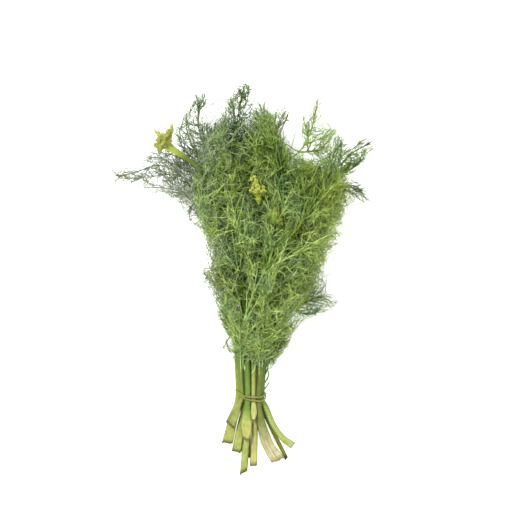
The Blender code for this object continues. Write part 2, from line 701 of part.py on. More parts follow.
def main():
    for old in list(bpy.data.objects):
        bpy.data.objects.remove(old)
    finishes = {
        "stalk": material("stalk", 0.5),
        "leaf": material("leaf", 0.6),
        "young_sheath": material("young_sheath", 0.45),
        "umbel": material("umbel", 0.6),
        "rubber_band": material("rubber_band", 0.55),
    }
    ways = {}
    for stem in STEMS:
        tie = (stem.tie[0], 0.0, stem.tie[1])
        ways[stem.name] = Way(smooth_way([*stem.foot, tie, *stem.way]))
    bulky = []
    for points, half in (([*UMBEL_HUB, (6, 178, 58), (4.5, 185, 58)], UMBEL_ROOM), (BUD_WAY, BUD_ROOM), (YOUNG_WAY, YOUNG_ROOM)):
        room = Way(points).part(0.0, Way(points).length).points
        bulky += [(room + [0.0, 0.0, 0.6 * half * level], half) for level in range(SIGHT_STEPS)]
    axes = {name: way.part(0.0, way.length).points for name, way in ways.items()}
    for stem in STEMS:
        sprays = [Way(smooth_way(route)) for route in stem.sprays]
        axes[stem.name] = np.concatenate([axes[stem.name], *(spray.part(0.0, spray.length).points for spray in sprays)])
    lands = Territories(axes, bulky)
    for stem in STEMS:
        stalk(stem, ways[stem.name], finishes["stalk"])
        leafy_top(stem, ways[stem.name], lands, finishes["leaf"])
    tipped(UMBEL_HUB, UMBEL_HUB_HALF, UMBEL_HEADS, "umbel", round_section, 0.7, finishes["umbel"])
    tipped(BUD_WAY, BUD_HALF, BUD_LOBES, "bud_sheath", clasping_section, 0.9, finishes["young_sheath"])
    tipped(YOUNG_WAY, YOUNG_HALF, YOUNG_TIPS, "young_leaf", round_section, 0.5, finishes["young_sheath"])
    rubber_band(finishes["rubber_band"])


if __name__ == "__main__":
    main()
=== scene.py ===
"""The looks of a bunch of fresh dill, tied with a rubber band and lying on a white table.

Every stem is a pale ribbed stalk with a feathery green top. The stems' routes are the frame's own, so each
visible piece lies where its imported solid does. The leaves divide three times, down to threads half a
millimetre wide. Sizes in the tables are millimetres, and MM turns them to metres.
"""

import logging
import math
from collections.abc import Callable
from dataclasses import dataclass, field, fields
from enum import Enum
from functools import partial

import bpy
import numpy as np
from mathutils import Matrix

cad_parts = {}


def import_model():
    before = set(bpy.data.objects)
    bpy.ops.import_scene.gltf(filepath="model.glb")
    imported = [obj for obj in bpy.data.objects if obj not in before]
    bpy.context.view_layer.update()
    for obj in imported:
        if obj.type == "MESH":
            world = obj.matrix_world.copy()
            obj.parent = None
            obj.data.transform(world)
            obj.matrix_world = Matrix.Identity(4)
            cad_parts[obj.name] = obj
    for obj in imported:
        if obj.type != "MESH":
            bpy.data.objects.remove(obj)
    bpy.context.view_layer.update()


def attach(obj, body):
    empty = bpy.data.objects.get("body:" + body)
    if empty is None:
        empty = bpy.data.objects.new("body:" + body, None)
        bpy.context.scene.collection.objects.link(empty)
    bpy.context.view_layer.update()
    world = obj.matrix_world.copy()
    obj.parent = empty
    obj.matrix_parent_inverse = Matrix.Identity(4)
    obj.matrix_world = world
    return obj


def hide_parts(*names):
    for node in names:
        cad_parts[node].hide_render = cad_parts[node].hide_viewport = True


log = logging.getLogger("dill_bunch")

MM = 0.001
SEED = 20
UPWARD = (0.0, 0.0, 1.0)
GOLDEN_ANGLE = math.radians(137.5)
WHITE = (1.0, 1.0, 1.0, 1.0)

# Threads keep this far above the table, and above the soft top they press together into the room over it
TABLE_CLEAR = 0.25
SOFT_TOP = 60.0
TOP_ROOM = 9.5

# The heights of the three layers of stalks in the band
TOP, MID, LOW = 12.1, 7.9, 3.75


# Finishes


def linear(code: str) -> tuple[float, float, float, float]:
    """Turns an sRGB hex value to linear light.

    Args:
        code: The colour as "#rrggbb".

    Returns:
        Linear red, green, blue and an alpha of 1.
    """
    parts = [int(code[k : k + 2], 16) / 255 for k in (1, 3, 5)]
    light = [c / 12.92 if c <= 0.04045 else ((c + 0.055) / 1.055) ** 2.4 for c in parts]
    return (*light, 1.0)


def wire(node: bpy.types.Node, settings: dict | None = None, **links: object) -> bpy.types.Node:
    """Sets a node's values and links its inputs.

    Args:
        node: The node.
        settings: Values by property name, or by input name or number where no property has that name.
        links: What feeds each input, an output or a node for its first output, by the input's name with
            underscores for its spaces, or by "i" and its number.

    Returns:
        The node.
    """
    for name, value in (settings or {}).items():
        if isinstance(name, str) and hasattr(node, name):
            setattr(node, name, value)
        else:
            node.inputs[name].default_value = value
    for name, source in links.items():
        into = int(name[1:]) if name[0] == "i" and name[1:].isdigit() else name.replace("_", " ")
        output = source.outputs[0] if isinstance(source, bpy.types.Node) else source
        node.id_data.links.new(output, node.inputs[into])
    return node


def add_node(
    tree: bpy.types.NodeTree, kind: str, settings: dict | None = None, **links: object
) -> bpy.types.Node:
    """Adds a shader node of this kind, such as "TexNoise", with its settings and links."""
    return wire(tree.nodes.new("ShaderNode" + kind), settings, **links)


def colour_steps(ramp: bpy.types.Node, steps: list[tuple[float, str]]) -> None:
    """Sets a colour ramp's stops.

    Args:
        ramp: The ramp node.
        steps: Each stop's place, from 0 to 1, and its sRGB hex colour.
    """
    stops = ramp.color_ramp.elements
    while len(stops) < len(steps):
        stops.new(1.0)
    for stop, (place, code) in zip(stops, steps):
        stop.position, stop.color = place, linear(code)


def blank_material(name: str) -> tuple[bpy.types.Material, Callable[..., bpy.types.Node], bpy.types.Node]:
    """Makes a material with only a Principled shader and an output.

    Args:
        name: The material's name.

    Returns:
        The material, the function that adds a node to it, and its Principled node.
    """
    made = bpy.data.materials.new(name)
    made.use_nodes = True
    return made, partial(add_node, made.node_tree), made.node_tree.nodes["Principled BSDF"]


class StalkTone(Enum):
    """The colours that the cut stalks come in."""

    PALE = "pale"
    BULGE = "bulge"
    STRAW = "straw"
    BLUSHED = "blushed"
    LIME = "lime"
    BROWNED = "browned"
    SALLOW = "sallow"
    GREEN = "green"
    OLIVE = "olive"


@dataclass(frozen=True)
class StalkSkin:
    """A dill stalk's moist waxy skin: pale where the sheath kept it from the sun, and finely ribbed."""

    cut: str
    foot: str
    tie: str
    upper: str
    streak: str
    margin: str = "#7d8038"
    streak_share: float = 0.55
    pale_until: float = 0.26
    green_from: float = 0.5
    rib_spacing: float = 0.85
    roughness: float = 0.44
    ior: float = 1.42

    def material(self, name: str) -> bpy.types.Material:
        """Builds the skin's material.

        Args:
            name: The material's name.

        Returns:
            The material.
        """
        made, add, shader = blank_material(name)
        skin = add("Attribute", {"attribute_name": "skin"}).outputs["Vector"]
        grade = add("Attribute", {"attribute_name": "grade"}).outputs["Fac"]
        side = add("Attribute", {"attribute_name": "side"}).outputs["Fac"]
        # From the browned rim of the cut, over the pale sheath, to green above the band
        ramp = add("ValToRGB", Fac=grade)
        colour_steps(ramp, [
            (0.0, self.cut), (0.012, self.cut), (0.035, self.foot), (self.pale_until, self.foot),
            (self.green_from, self.tie), (0.8, self.upper),
        ])
        # Ribs are 0.85 mm apart, which is about as fine as shows; each runs on for some centimetres
        stretch = add("Mapping", {"Scale": (1 / (self.rib_spacing * MM), 22.0, 1.0)}, Vector=skin)
        strand = add("TexNoise", {"Scale": 1.0, "Detail": 3.0, "Roughness": 0.6}, Vector=stretch)
        faint = add("MapRange", {1: 0.48, 2: 0.62, 3: 0.0, 4: self.streak_share}, Value=strand)
        # The streaks are strongest on the sheath
        sheath = add("MapRange", {1: 0.3, 2: 0.5, 3: 1.0, 4: 0.4}, Value=grade)
        fading = add("Math", {"operation": "MULTIPLY"}, i0=faint, i1=sheath)
        streaked = add("Mix", {"data_type": "RGBA", 7: linear(self.streak)}, i0=fading, i6=ramp)
        # Both flanks of the stalk turn darker olive towards their edges, along its whole length
        rim = add("MapRange", {1: 0.86, 2: 0.99, 3: 0.0, 4: 0.75}, Value=side)
        edged = add("Mix", {"data_type": "RGBA", 7: linear(self.margin)}, i0=rim, i6=streaked.outputs[2])
        # Blotches a few millimetres long, where the skin is thinner and paler
        blotch = add("TexNoise", {"Scale": 190.0, "Detail": 4.0, "Roughness": 0.6}, Vector=skin)
        light = add("MapRange", {1: 0.3, 2: 0.7, 3: 0.66, 4: 0.99}, Value=blotch)
        toned = add("HueSaturation", Value=light, Color=edged.outputs[2])
        rough = add("MapRange", {3: self.roughness - 0.08, 4: self.roughness + 0.12}, Value=blotch)
        bump = add("Bump", {"Strength": 0.9, "Distance": 0.35 * MM}, Height=strand)
        wire(
            shader, {
                "IOR": self.ior, "Subsurface Weight": 0.12, "Subsurface Scale": 1.0,
                "Subsurface Radius": (1.2 * MM, 1.6 * MM, 0.5 * MM),
            },
            Base_Color=toned, Roughness=rough, Normal=bump,
        )
        return made


STALK_SKINS = {
    StalkTone.PALE: StalkSkin("#6b6636", "#b5b95f", "#9dad4c", "#789a3f", "#8fa548"),
    StalkTone.SALLOW: StalkSkin("#6b6636", "#a3aa55", "#8d9f45", "#70913b", "#8a9a44"),
    StalkTone.BULGE: StalkSkin(
        "#8a8444", "#bdc068", "#759a3a", "#6b9238", "#a9ac58", "#8a8a3c", pale_until=0.18, green_from=0.33
    ),
    StalkTone.STRAW: StalkSkin("#8c8444", "#c9c878", "#bcc26c", "#92ab48", "#a8ac56", "#8f8c42"),
    StalkTone.BLUSHED: StalkSkin(
        "#aca070", "#dcd6aa", "#758a38", "#587430", "#a5854c", "#8a8f3e", 0.72,
        pale_until=0.05, green_from=0.3,
    ),
    StalkTone.LIME: StalkSkin("#c4c6a0", "#b6c168", "#82a03c", "#6f9639", "#96a94c", "#708a32"),
    StalkTone.BROWNED: StalkSkin(
        "#62642e", "#b0bb62", "#82a03c", "#6f9639", "#8aa040", "#708a32", pale_until=0.2
    ),
    StalkTone.GREEN: StalkSkin("#6f7038", "#7c9a3e", "#769a3c", "#688f38", "#5f8232", "#5f7a30"),
    StalkTone.OLIVE: StalkSkin("#3f3d22", "#84902f", "#7d923a", "#658a38", "#5f6c28", "#5a6428"),
}


@dataclass(frozen=True)
class LeafThread:
    """Dill leaf: waxy threads on a ramp from dark to light by their tone, which holds painted shade deep in
    the bunch and painted light near its top; old leaves are darker, young ones light or bluish.
    """

    deep: str = "#26390a"
    middle: str = "#668a2e"
    light: str = "#c0d680"
    bloom: str = "#7ba47a"
    bloom_share: float = 0.36
    ripe: str = "#98a52e"
    ripe_share: float = 0.34
    roughness: float = 0.47
    ior: float = 1.42

    def material(self, name: str) -> bpy.types.Material:
        """Builds the leaf's material.

        Args:
            name: The material's name.

        Returns:
            The material.
        """
        made, add, shader = blank_material(name)
        # The ramp's deep end is painted shade for threads deep in the bunch as well as darker leaves, and its
        # light end is partly painted light near the top
        ramp = add("ValToRGB", Fac=add("Attribute", {"attribute_name": "tone"}).outputs["Fac"])
        colour_steps(ramp, [(0.0, self.deep), (0.5, self.middle), (1.0, self.light)])
        place = add("TexCoord").outputs["Object"]
        # The wax's bluish bloom comes in patches about two centimetres across
        patch = add("TexNoise", {"Scale": 45.0, "Detail": 2.0}, Vector=place)
        waxy = add("MapRange", {1: 0.5, 2: 0.66, 3: 0.0, 4: self.bloom_share}, Value=patch)
        bloomed = add("Mix", {"data_type": "RGBA", 7: linear(self.bloom)}, i0=waxy, i6=ramp)
        # Leaves past their youth yellow in wider patches
        noise = {"Scale": 26.0, "Detail": 2.0, "noise_dimensions": "4D", "W": 3.0}
        wide = add("TexNoise", noise, Vector=place)
        aged = add("MapRange", {1: 0.5, 2: 0.68, 3: 0.0, 4: self.ripe_share}, Value=wide)
        yellowed = add("Mix", {"data_type": "RGBA", 7: linear(self.ripe)}, i0=aged, i6=bloomed.outputs[2])
        # Threads crowd and part every few millimetres, which shades them
        crowd = add("TexNoise", {"Scale": 210.0, "Detail": 2.0}, Vector=place)
        shade = add("MapRange", {1: 0.35, 2: 0.65, 3: 0.72, 4: 1.2}, Value=crowd)
        shaded = add("HueSaturation", {"Saturation": 1.04}, Value=shade, Color=yellowed.outputs[2])
        values = {"Specular IOR Level": 0.38, "Roughness": self.roughness, "IOR": self.ior}
        wire(shader, values, Base_Color=shaded)
        return made


class LeafTone(Enum):
    """The greens of the leafy tops."""

    FRESH = "fresh"
    DEEP = "deep"
    YOUNG = "young"
    FADED = "faded"
    DUSKY = "dusky"


LEAF_THREADS = {
    LeafTone.FRESH: LeafThread(),
    LeafTone.DEEP: LeafThread("#21360d", "#5c812e", "#adc874"),
    LeafTone.YOUNG: LeafThread("#63843a", "#92b055", "#c6d98e", "#93b092"),
    LeafTone.FADED: LeafThread("#585e4b", "#8b9776", "#bac5a5", "#7c957f", 0.3, ripe_share=0.1),
    LeafTone.DUSKY: LeafThread("#42562d", "#718857", "#a3b785", "#7c957f", 0.2, ripe_share=0.1),
}


@dataclass(frozen=True)
class LimeTissue:
    """The youngest leaf and its sheath: thin, moist and lime green, with veins along it."""

    root: str = "#5a6d24"
    body: str = "#9fac48"
    tip: str = "#c6c072"
    roughness: float = 0.42
    ior: float = 1.42

    def material(self, name: str) -> bpy.types.Material:
        """Builds the young tissue's material.

        Args:
            name: The material's name.

        Returns:
            The material.
        """
        made, add, shader = blank_material(name)
        ramp = add("ValToRGB", Fac=add("Attribute", {"attribute_name": "grade"}).outputs["Fac"])
        colour_steps(ramp, [
            (0.0, self.root), (0.36, self.root), (0.6, self.body), (0.72, self.body), (0.95, self.tip),
        ])
        # Veins about a millimetre apart
        skin = add("Attribute", {"attribute_name": "skin"}).outputs["Vector"]
        stretch = add("Mapping", {"Scale": (1 / MM, 20.0, 1.0)}, Vector=skin)
        vein = add("TexNoise", {"Scale": 1.0, "Detail": 2.0}, Vector=stretch)
        light = add("MapRange", {1: 0.35, 2: 0.65, 3: 0.7, 4: 1.2}, Value=vein)
        wire(
            shader, {
                "Roughness": self.roughness, "IOR": self.ior,
                "Subsurface Weight": 0.15, "Subsurface Scale": 1.0,
                "Subsurface Radius": (1.0 * MM, 1.4 * MM, 0.4 * MM),
            },
            Base_Color=add("HueSaturation", Value=light, Color=ramp),
            Normal=add("Bump", {"Strength": 0.4, "Distance": 0.2 * MM}, Height=vein),
        )
        return made


@dataclass(frozen=True)
class UmbelFloret:
    """Dill florets, still shut: waxy yellow buds on green-yellow rays, and rusty specks where some dried."""

    ray: str = "#8fa13e"
    bud: str = "#abb23f"
    petal: str = "#c9cc66"
    rust: str = "#b08a4c"
    roughness: float = 0.55
    ior: float = 1.42

    def material(self, name: str) -> bpy.types.Material:
        """Builds the florets' material.

        Args:
            name: The material's name.

        Returns:
            The material.
        """
        made, add, shader = blank_material(name)
        ramp = add("ValToRGB", Fac=add("Attribute", {"attribute_name": "tone"}).outputs["Fac"])
        colour_steps(ramp, [(0.3, self.ray), (0.65, self.bud), (1.0, self.petal)])
        # The specks are about a millimetre across
        speck = add("TexNoise", {"Scale": 700.0, "Detail": 1.0}, Vector=add("TexCoord").outputs["Object"])
        share = add("MapRange", {1: 0.62, 2: 0.7, 3: 0.0, 4: 0.2}, Value=speck)
        rusted = add("Mix", {"data_type": "RGBA", 7: linear(self.rust)}, i0=share, i6=ramp)
        wire(shader, {"Roughness": self.roughness, "IOR": self.ior}, Base_Color=rusted.outputs[2])
        return made


@dataclass(frozen=True)
class NaturalRubber:
    """A band cut from moulded natural rubber: matt, faintly cloudy and olive-tan, with a soft edge light."""

    body: str = "#77773a"
    worn: str = "#98914f"
    roughness: float = 0.58
    ior: float = 1.52

    def material(self, name: str) -> bpy.types.Material:
        """Builds the rubber's material.

        Args:
            name: The material's name.

        Returns:
            The material.
        """
        made, add, shader = blank_material(name)
        place = add("TexCoord").outputs["Object"]
        # Clouds about three millimetres across, and a grain of under half a millimetre
        ramp = add("ValToRGB", Fac=add("TexNoise", {"Scale": 300.0, "Detail": 4.0}, Vector=place))
        colour_steps(ramp, [(0.35, self.body), (0.68, self.worn)])
        grain = add("TexNoise", {"Scale": 2500.0, "Detail": 2.0}, Vector=place)
        bump = add("Bump", {"Strength": 0.3, "Distance": 0.05 * MM}, Height=grain)
        wire(shader, {"Roughness": self.roughness, "IOR": self.ior}, Base_Color=ramp, Normal=bump)
        return made


# Lines and meshes


def unit(v: np.ndarray) -> np.ndarray:
    """The vectors along the last axis, scaled to a length of 1."""
    return v / np.maximum(np.linalg.norm(v, axis=-1, keepdims=True), 1e-12)


def blend(a: float, b: float, t: float) -> float:
    """The value on an eased way from a, where t is 0 or less, to b, where t is 1 or more."""
    t = min(max(t, 0.0), 1.0)
    return a + (b - a) * t * t * (3 - 2 * t)


def ring_faces(rings: int, around: int, inward: bool = False, closed: bool = False) -> list[np.ndarray]:
    """The triangles between rings of points that are numbered ring by ring.

    Args:
        rings: How many rings there are.
        around: How many points each of them has.
        inward: Whether the triangles turn the other way round.
        closed: Whether the last ring meets the first.

    Returns:
        Arrays of triangles, as rows of three point numbers.
    """
    k = np.arange(around)
    faces = []
    for level in range(rings if closed else rings - 1):
        low, high = level * around, (level + 1) % rings * around
        a, b, c, d = low + k, low + (k + 1) % around, high + (k + 1) % around, high + k
        faces += [np.stack(t, 1) for t in (((a, c, b), (a, d, c)) if inward else ((a, b, c), (a, c, d)))]
    return faces


def fan_faces(first: int, around: int, tip: int, inward: bool = False) -> np.ndarray:
    """The triangles between a ring of points and a tip.

    Args:
        first: The number of the ring's first point.
        around: How many points the ring has.
        tip: The number of the tip.
        inward: Whether the triangles turn the other way round.

    Returns:
        The triangles, as rows of three point numbers.
    """
    k = np.arange(around)
    onward, tips = first + (k + 1) % around, np.full(around, tip)
    return np.stack([first + k, tips, onward] if inward else [first + k, onward, tips], 1)


class Way:
    """A smooth curve through given points, which can be read at any length along it."""

    def __init__(self, points: list | np.ndarray, per_span: int = 12) -> None:
        """Runs a Catmull-Rom curve through the points.

        Args:
            points: The points, in metres.
            per_span: How many steps each span gets, or 0 to keep the points as they are.
        """
        given = np.array(points, float)
        self.per_span = per_span
        self.points = self._smooth(given, per_span) if per_span else given
        steps = np.linalg.norm(np.diff(self.points, axis=0), axis=1)
        self.run = np.concatenate([[0.0], np.cumsum(steps)])
        self.length = float(self.run[-1])

    @staticmethod
    def _smooth(given: np.ndarray, per_span: int) -> np.ndarray:
        """The Catmull-Rom curve as a dense array.

        Args:
            given: The points to pass through.
            per_span: Steps for each span.

        Returns:
            The dense points.
        """
        held = np.vstack([2 * given[0] - given[1], given, 2 * given[-1] - given[-2]])
        t = (np.arange(per_span) / per_span)[:, None]
        made = []
        for a, b, c, d in zip(held, held[1:], held[2:], held[3:]):
            square, cube = 2 * a - 5 * b + 4 * c - d, 3 * b - a - 3 * c + d
            made.append(0.5 * (2 * b + (c - a) * t + square * t**2 + cube * t**3))
        return np.vstack([*made, given[-1:]])

    def at(self, run: np.ndarray | float) -> np.ndarray:
        """The points at these lengths along the curve, shape (..., 3)."""
        return np.stack([np.interp(run, self.run, self.points[:, k]) for k in range(3)], axis=-1)

    def along(self, run: np.ndarray | float, step: float = 1.5 * MM) -> np.ndarray:
        """The unit directions at these lengths, taken over a step to either side."""
        run = np.asarray(run, float)
        return unit(self.at(np.minimum(run + step, self.length)) - self.at(np.maximum(run - step, 0.0)))

    def run_at_point(self, number: int) -> float:
        """The length at which the curve passes the given point of this number, in metres."""
        return float(self.run[max(self.per_span, 1) * number])

    def run_at_height(self, height: float) -> float:
        """The first length at which the curve is that far along the bunch, in metres."""
        return float(self.run[int(np.argmax(self.points[:, 1] >= height))])


@dataclass
class Lines:
    """Many thin tubes at once: centre lines, half widths and the tone of each point."""

    centre: np.ndarray
    half: np.ndarray
    tone: np.ndarray


class MeshBuilder:
    """Gathers vertices, triangles and per-vertex values, and makes one object of them."""

    def __init__(self) -> None:
        """Starts empty."""
        self.verts: list[np.ndarray] = []
        self.faces: list[np.ndarray] = []
        self.values: dict[str, list[np.ndarray]] = {}
        self.count = 0

    def add(self, verts: np.ndarray, faces: np.ndarray, **values: np.ndarray) -> None:
        """Adds a piece of mesh.

        Args:
            verts: Points, shape (n, 3).
            faces: Triangles as rows of three point numbers.
            values: Per-point values by name, shape (n,) or (n, 3). Every call names the same ones.
        """
        self.verts.append(verts)
        self.faces.append(faces + self.count)
        for name, value in values.items():
            self.values.setdefault(name, []).append(value)
        self.count += len(verts)

    def add_lines(self, lines: Lines, sides: int, rng: np.random.Generator) -> None:
        """Adds a closed tube round each line, which comes to a point at its end.

        Args:
            lines: The lines, with centre of shape (n, r, 3) and half and tone of shape (n, r).
            sides: How many sides each tube has.
            rng: Where the turn of each tube is drawn from.
        """
        number, rings = lines.half.shape
        if number == 0:
            return
        ahead = unit(np.gradient(lines.centre, axis=1))
        chord = unit(lines.centre[:, -1] - lines.centre[:, 0])
        side = unit(np.cross(chord, rng.normal(size=(number, 3))))[:, None, :]
        across = unit(side - ahead * np.sum(side * ahead, axis=-1, keepdims=True))
        up = np.cross(ahead, across)
        turn = 2 * math.pi * np.arange(sides) / sides
        body = rings - 1
        centre, half, across, up = (
            v[:, :body, None] for v in (lines.centre, lines.half[..., None], across, up)
        )
        out = across * np.cos(turn)[:, None] + up * np.sin(turn)[:, None]
        ring = (centre + half * out).reshape(number, body * sides, 3)
        verts = np.concatenate([ring, lines.centre[:, -1:, :]], axis=1)
        each, k = body * sides + 1, np.arange(sides)
        root = np.stack([np.zeros(sides - 2, int), k[2:], k[1:-1]], 1)
        one = np.concatenate([*ring_faces(body, sides), fan_faces((body - 1) * sides, sides, each - 1), root])
        all_faces = (one[None] + (np.arange(number) * each)[:, None, None]).reshape(-1, 3)
        tone = np.concatenate([np.repeat(lines.tone[:, :body], sides, axis=1), lines.tone[:, -1:]], axis=1)
        self.add(verts.reshape(-1, 3), all_faces, tone=tone.reshape(-1))

    def make(self, name: str, material: bpy.types.Material) -> bpy.types.Object:
        """Makes the object.

        Args:
            name: Its name.
            material: Its material.

        Returns:
            The object, linked to the scene.
        """
        verts, faces = np.concatenate(self.verts), np.concatenate(self.faces)
        mesh = bpy.data.meshes.new(name)
        mesh.vertices.add(len(verts))
        mesh.vertices.foreach_set("co", verts.astype(np.float32).ravel())
        mesh.loops.add(3 * len(faces))
        mesh.loops.foreach_set("vertex_index", faces.astype(np.int32).ravel())
        mesh.polygons.add(len(faces))
        mesh.polygons.foreach_set("loop_start", np.arange(0, 3 * len(faces), 3, dtype=np.int32))
        mesh.polygons.foreach_set("use_smooth", np.full(len(faces), True))
        mesh.update(calc_edges=True)
        for value_name, parts in self.values.items():
            value = np.concatenate(parts)
            kind, slot = ("FLOAT_VECTOR", "vector") if value.ndim == 2 else ("FLOAT", "value")
            layer = mesh.attributes.new(value_name, kind, "POINT")
            layer.data.foreach_set(slot, value.astype(np.float32).ravel())
        mesh.materials.append(material)
        made = bpy.data.objects.new(name, mesh)
        bpy.context.scene.collection.objects.link(made)
        return made


# The stems' sizes


@dataclass(frozen=True)
class Sheath:
    """The broad base of a stalk, in millimetres.

    It has half widths at the cut and at its belly, a half thickness, and the depth of the gutter along it. The
    slant of its cut is a slope, its roll is in degrees, and the cut's edge has jags and a point.
    """

    cut: float
    belly: float
    thick: float
    gutter: float
    slant: float
    roll: float
    jag: float = 0.5
    point: float = 0.0


@dataclass(frozen=True)
class Spray:
    """A side frond on a way of its own, in millimetres: its points, its spread at each end, its spacing."""

    points: tuple
    spread: tuple
    spacing: float = 4.2


@dataclass(frozen=True)
class StemSizes:
    """One leafy stem, in millimetres: its foot from the cut to the band, its place there, and its way on.

    The frond at its tip spreads to each side by the two spreads, at its start and at its very end, and has a
    pair of leaflets at each spacing. A free one may stand out of the bunch. The low leaves are the heights at
    which leaves start on the stalk itself.
    """

    name: str
    skin: StalkTone
    leaf: LeafTone
    sheath: Sheath
    foot: list
    tie: tuple
    tie_half: tuple
    way: list
    neck: float
    leaves: int
    first_turn: float
    terminal: float = 62.0
    spread: tuple = (14.0, 8.0)
    spacing: float = 4.2
    free: bool = False
    low_leaves: tuple = ()
    sprays: list = field(default_factory=list)

    def route(self) -> Way:
        """The stem's whole way, from its cut end to its tip, in metres."""
        return Way(np.array([*self.foot, (self.tie[0], 0.0, self.tie[1]), *self.way]) * MM)


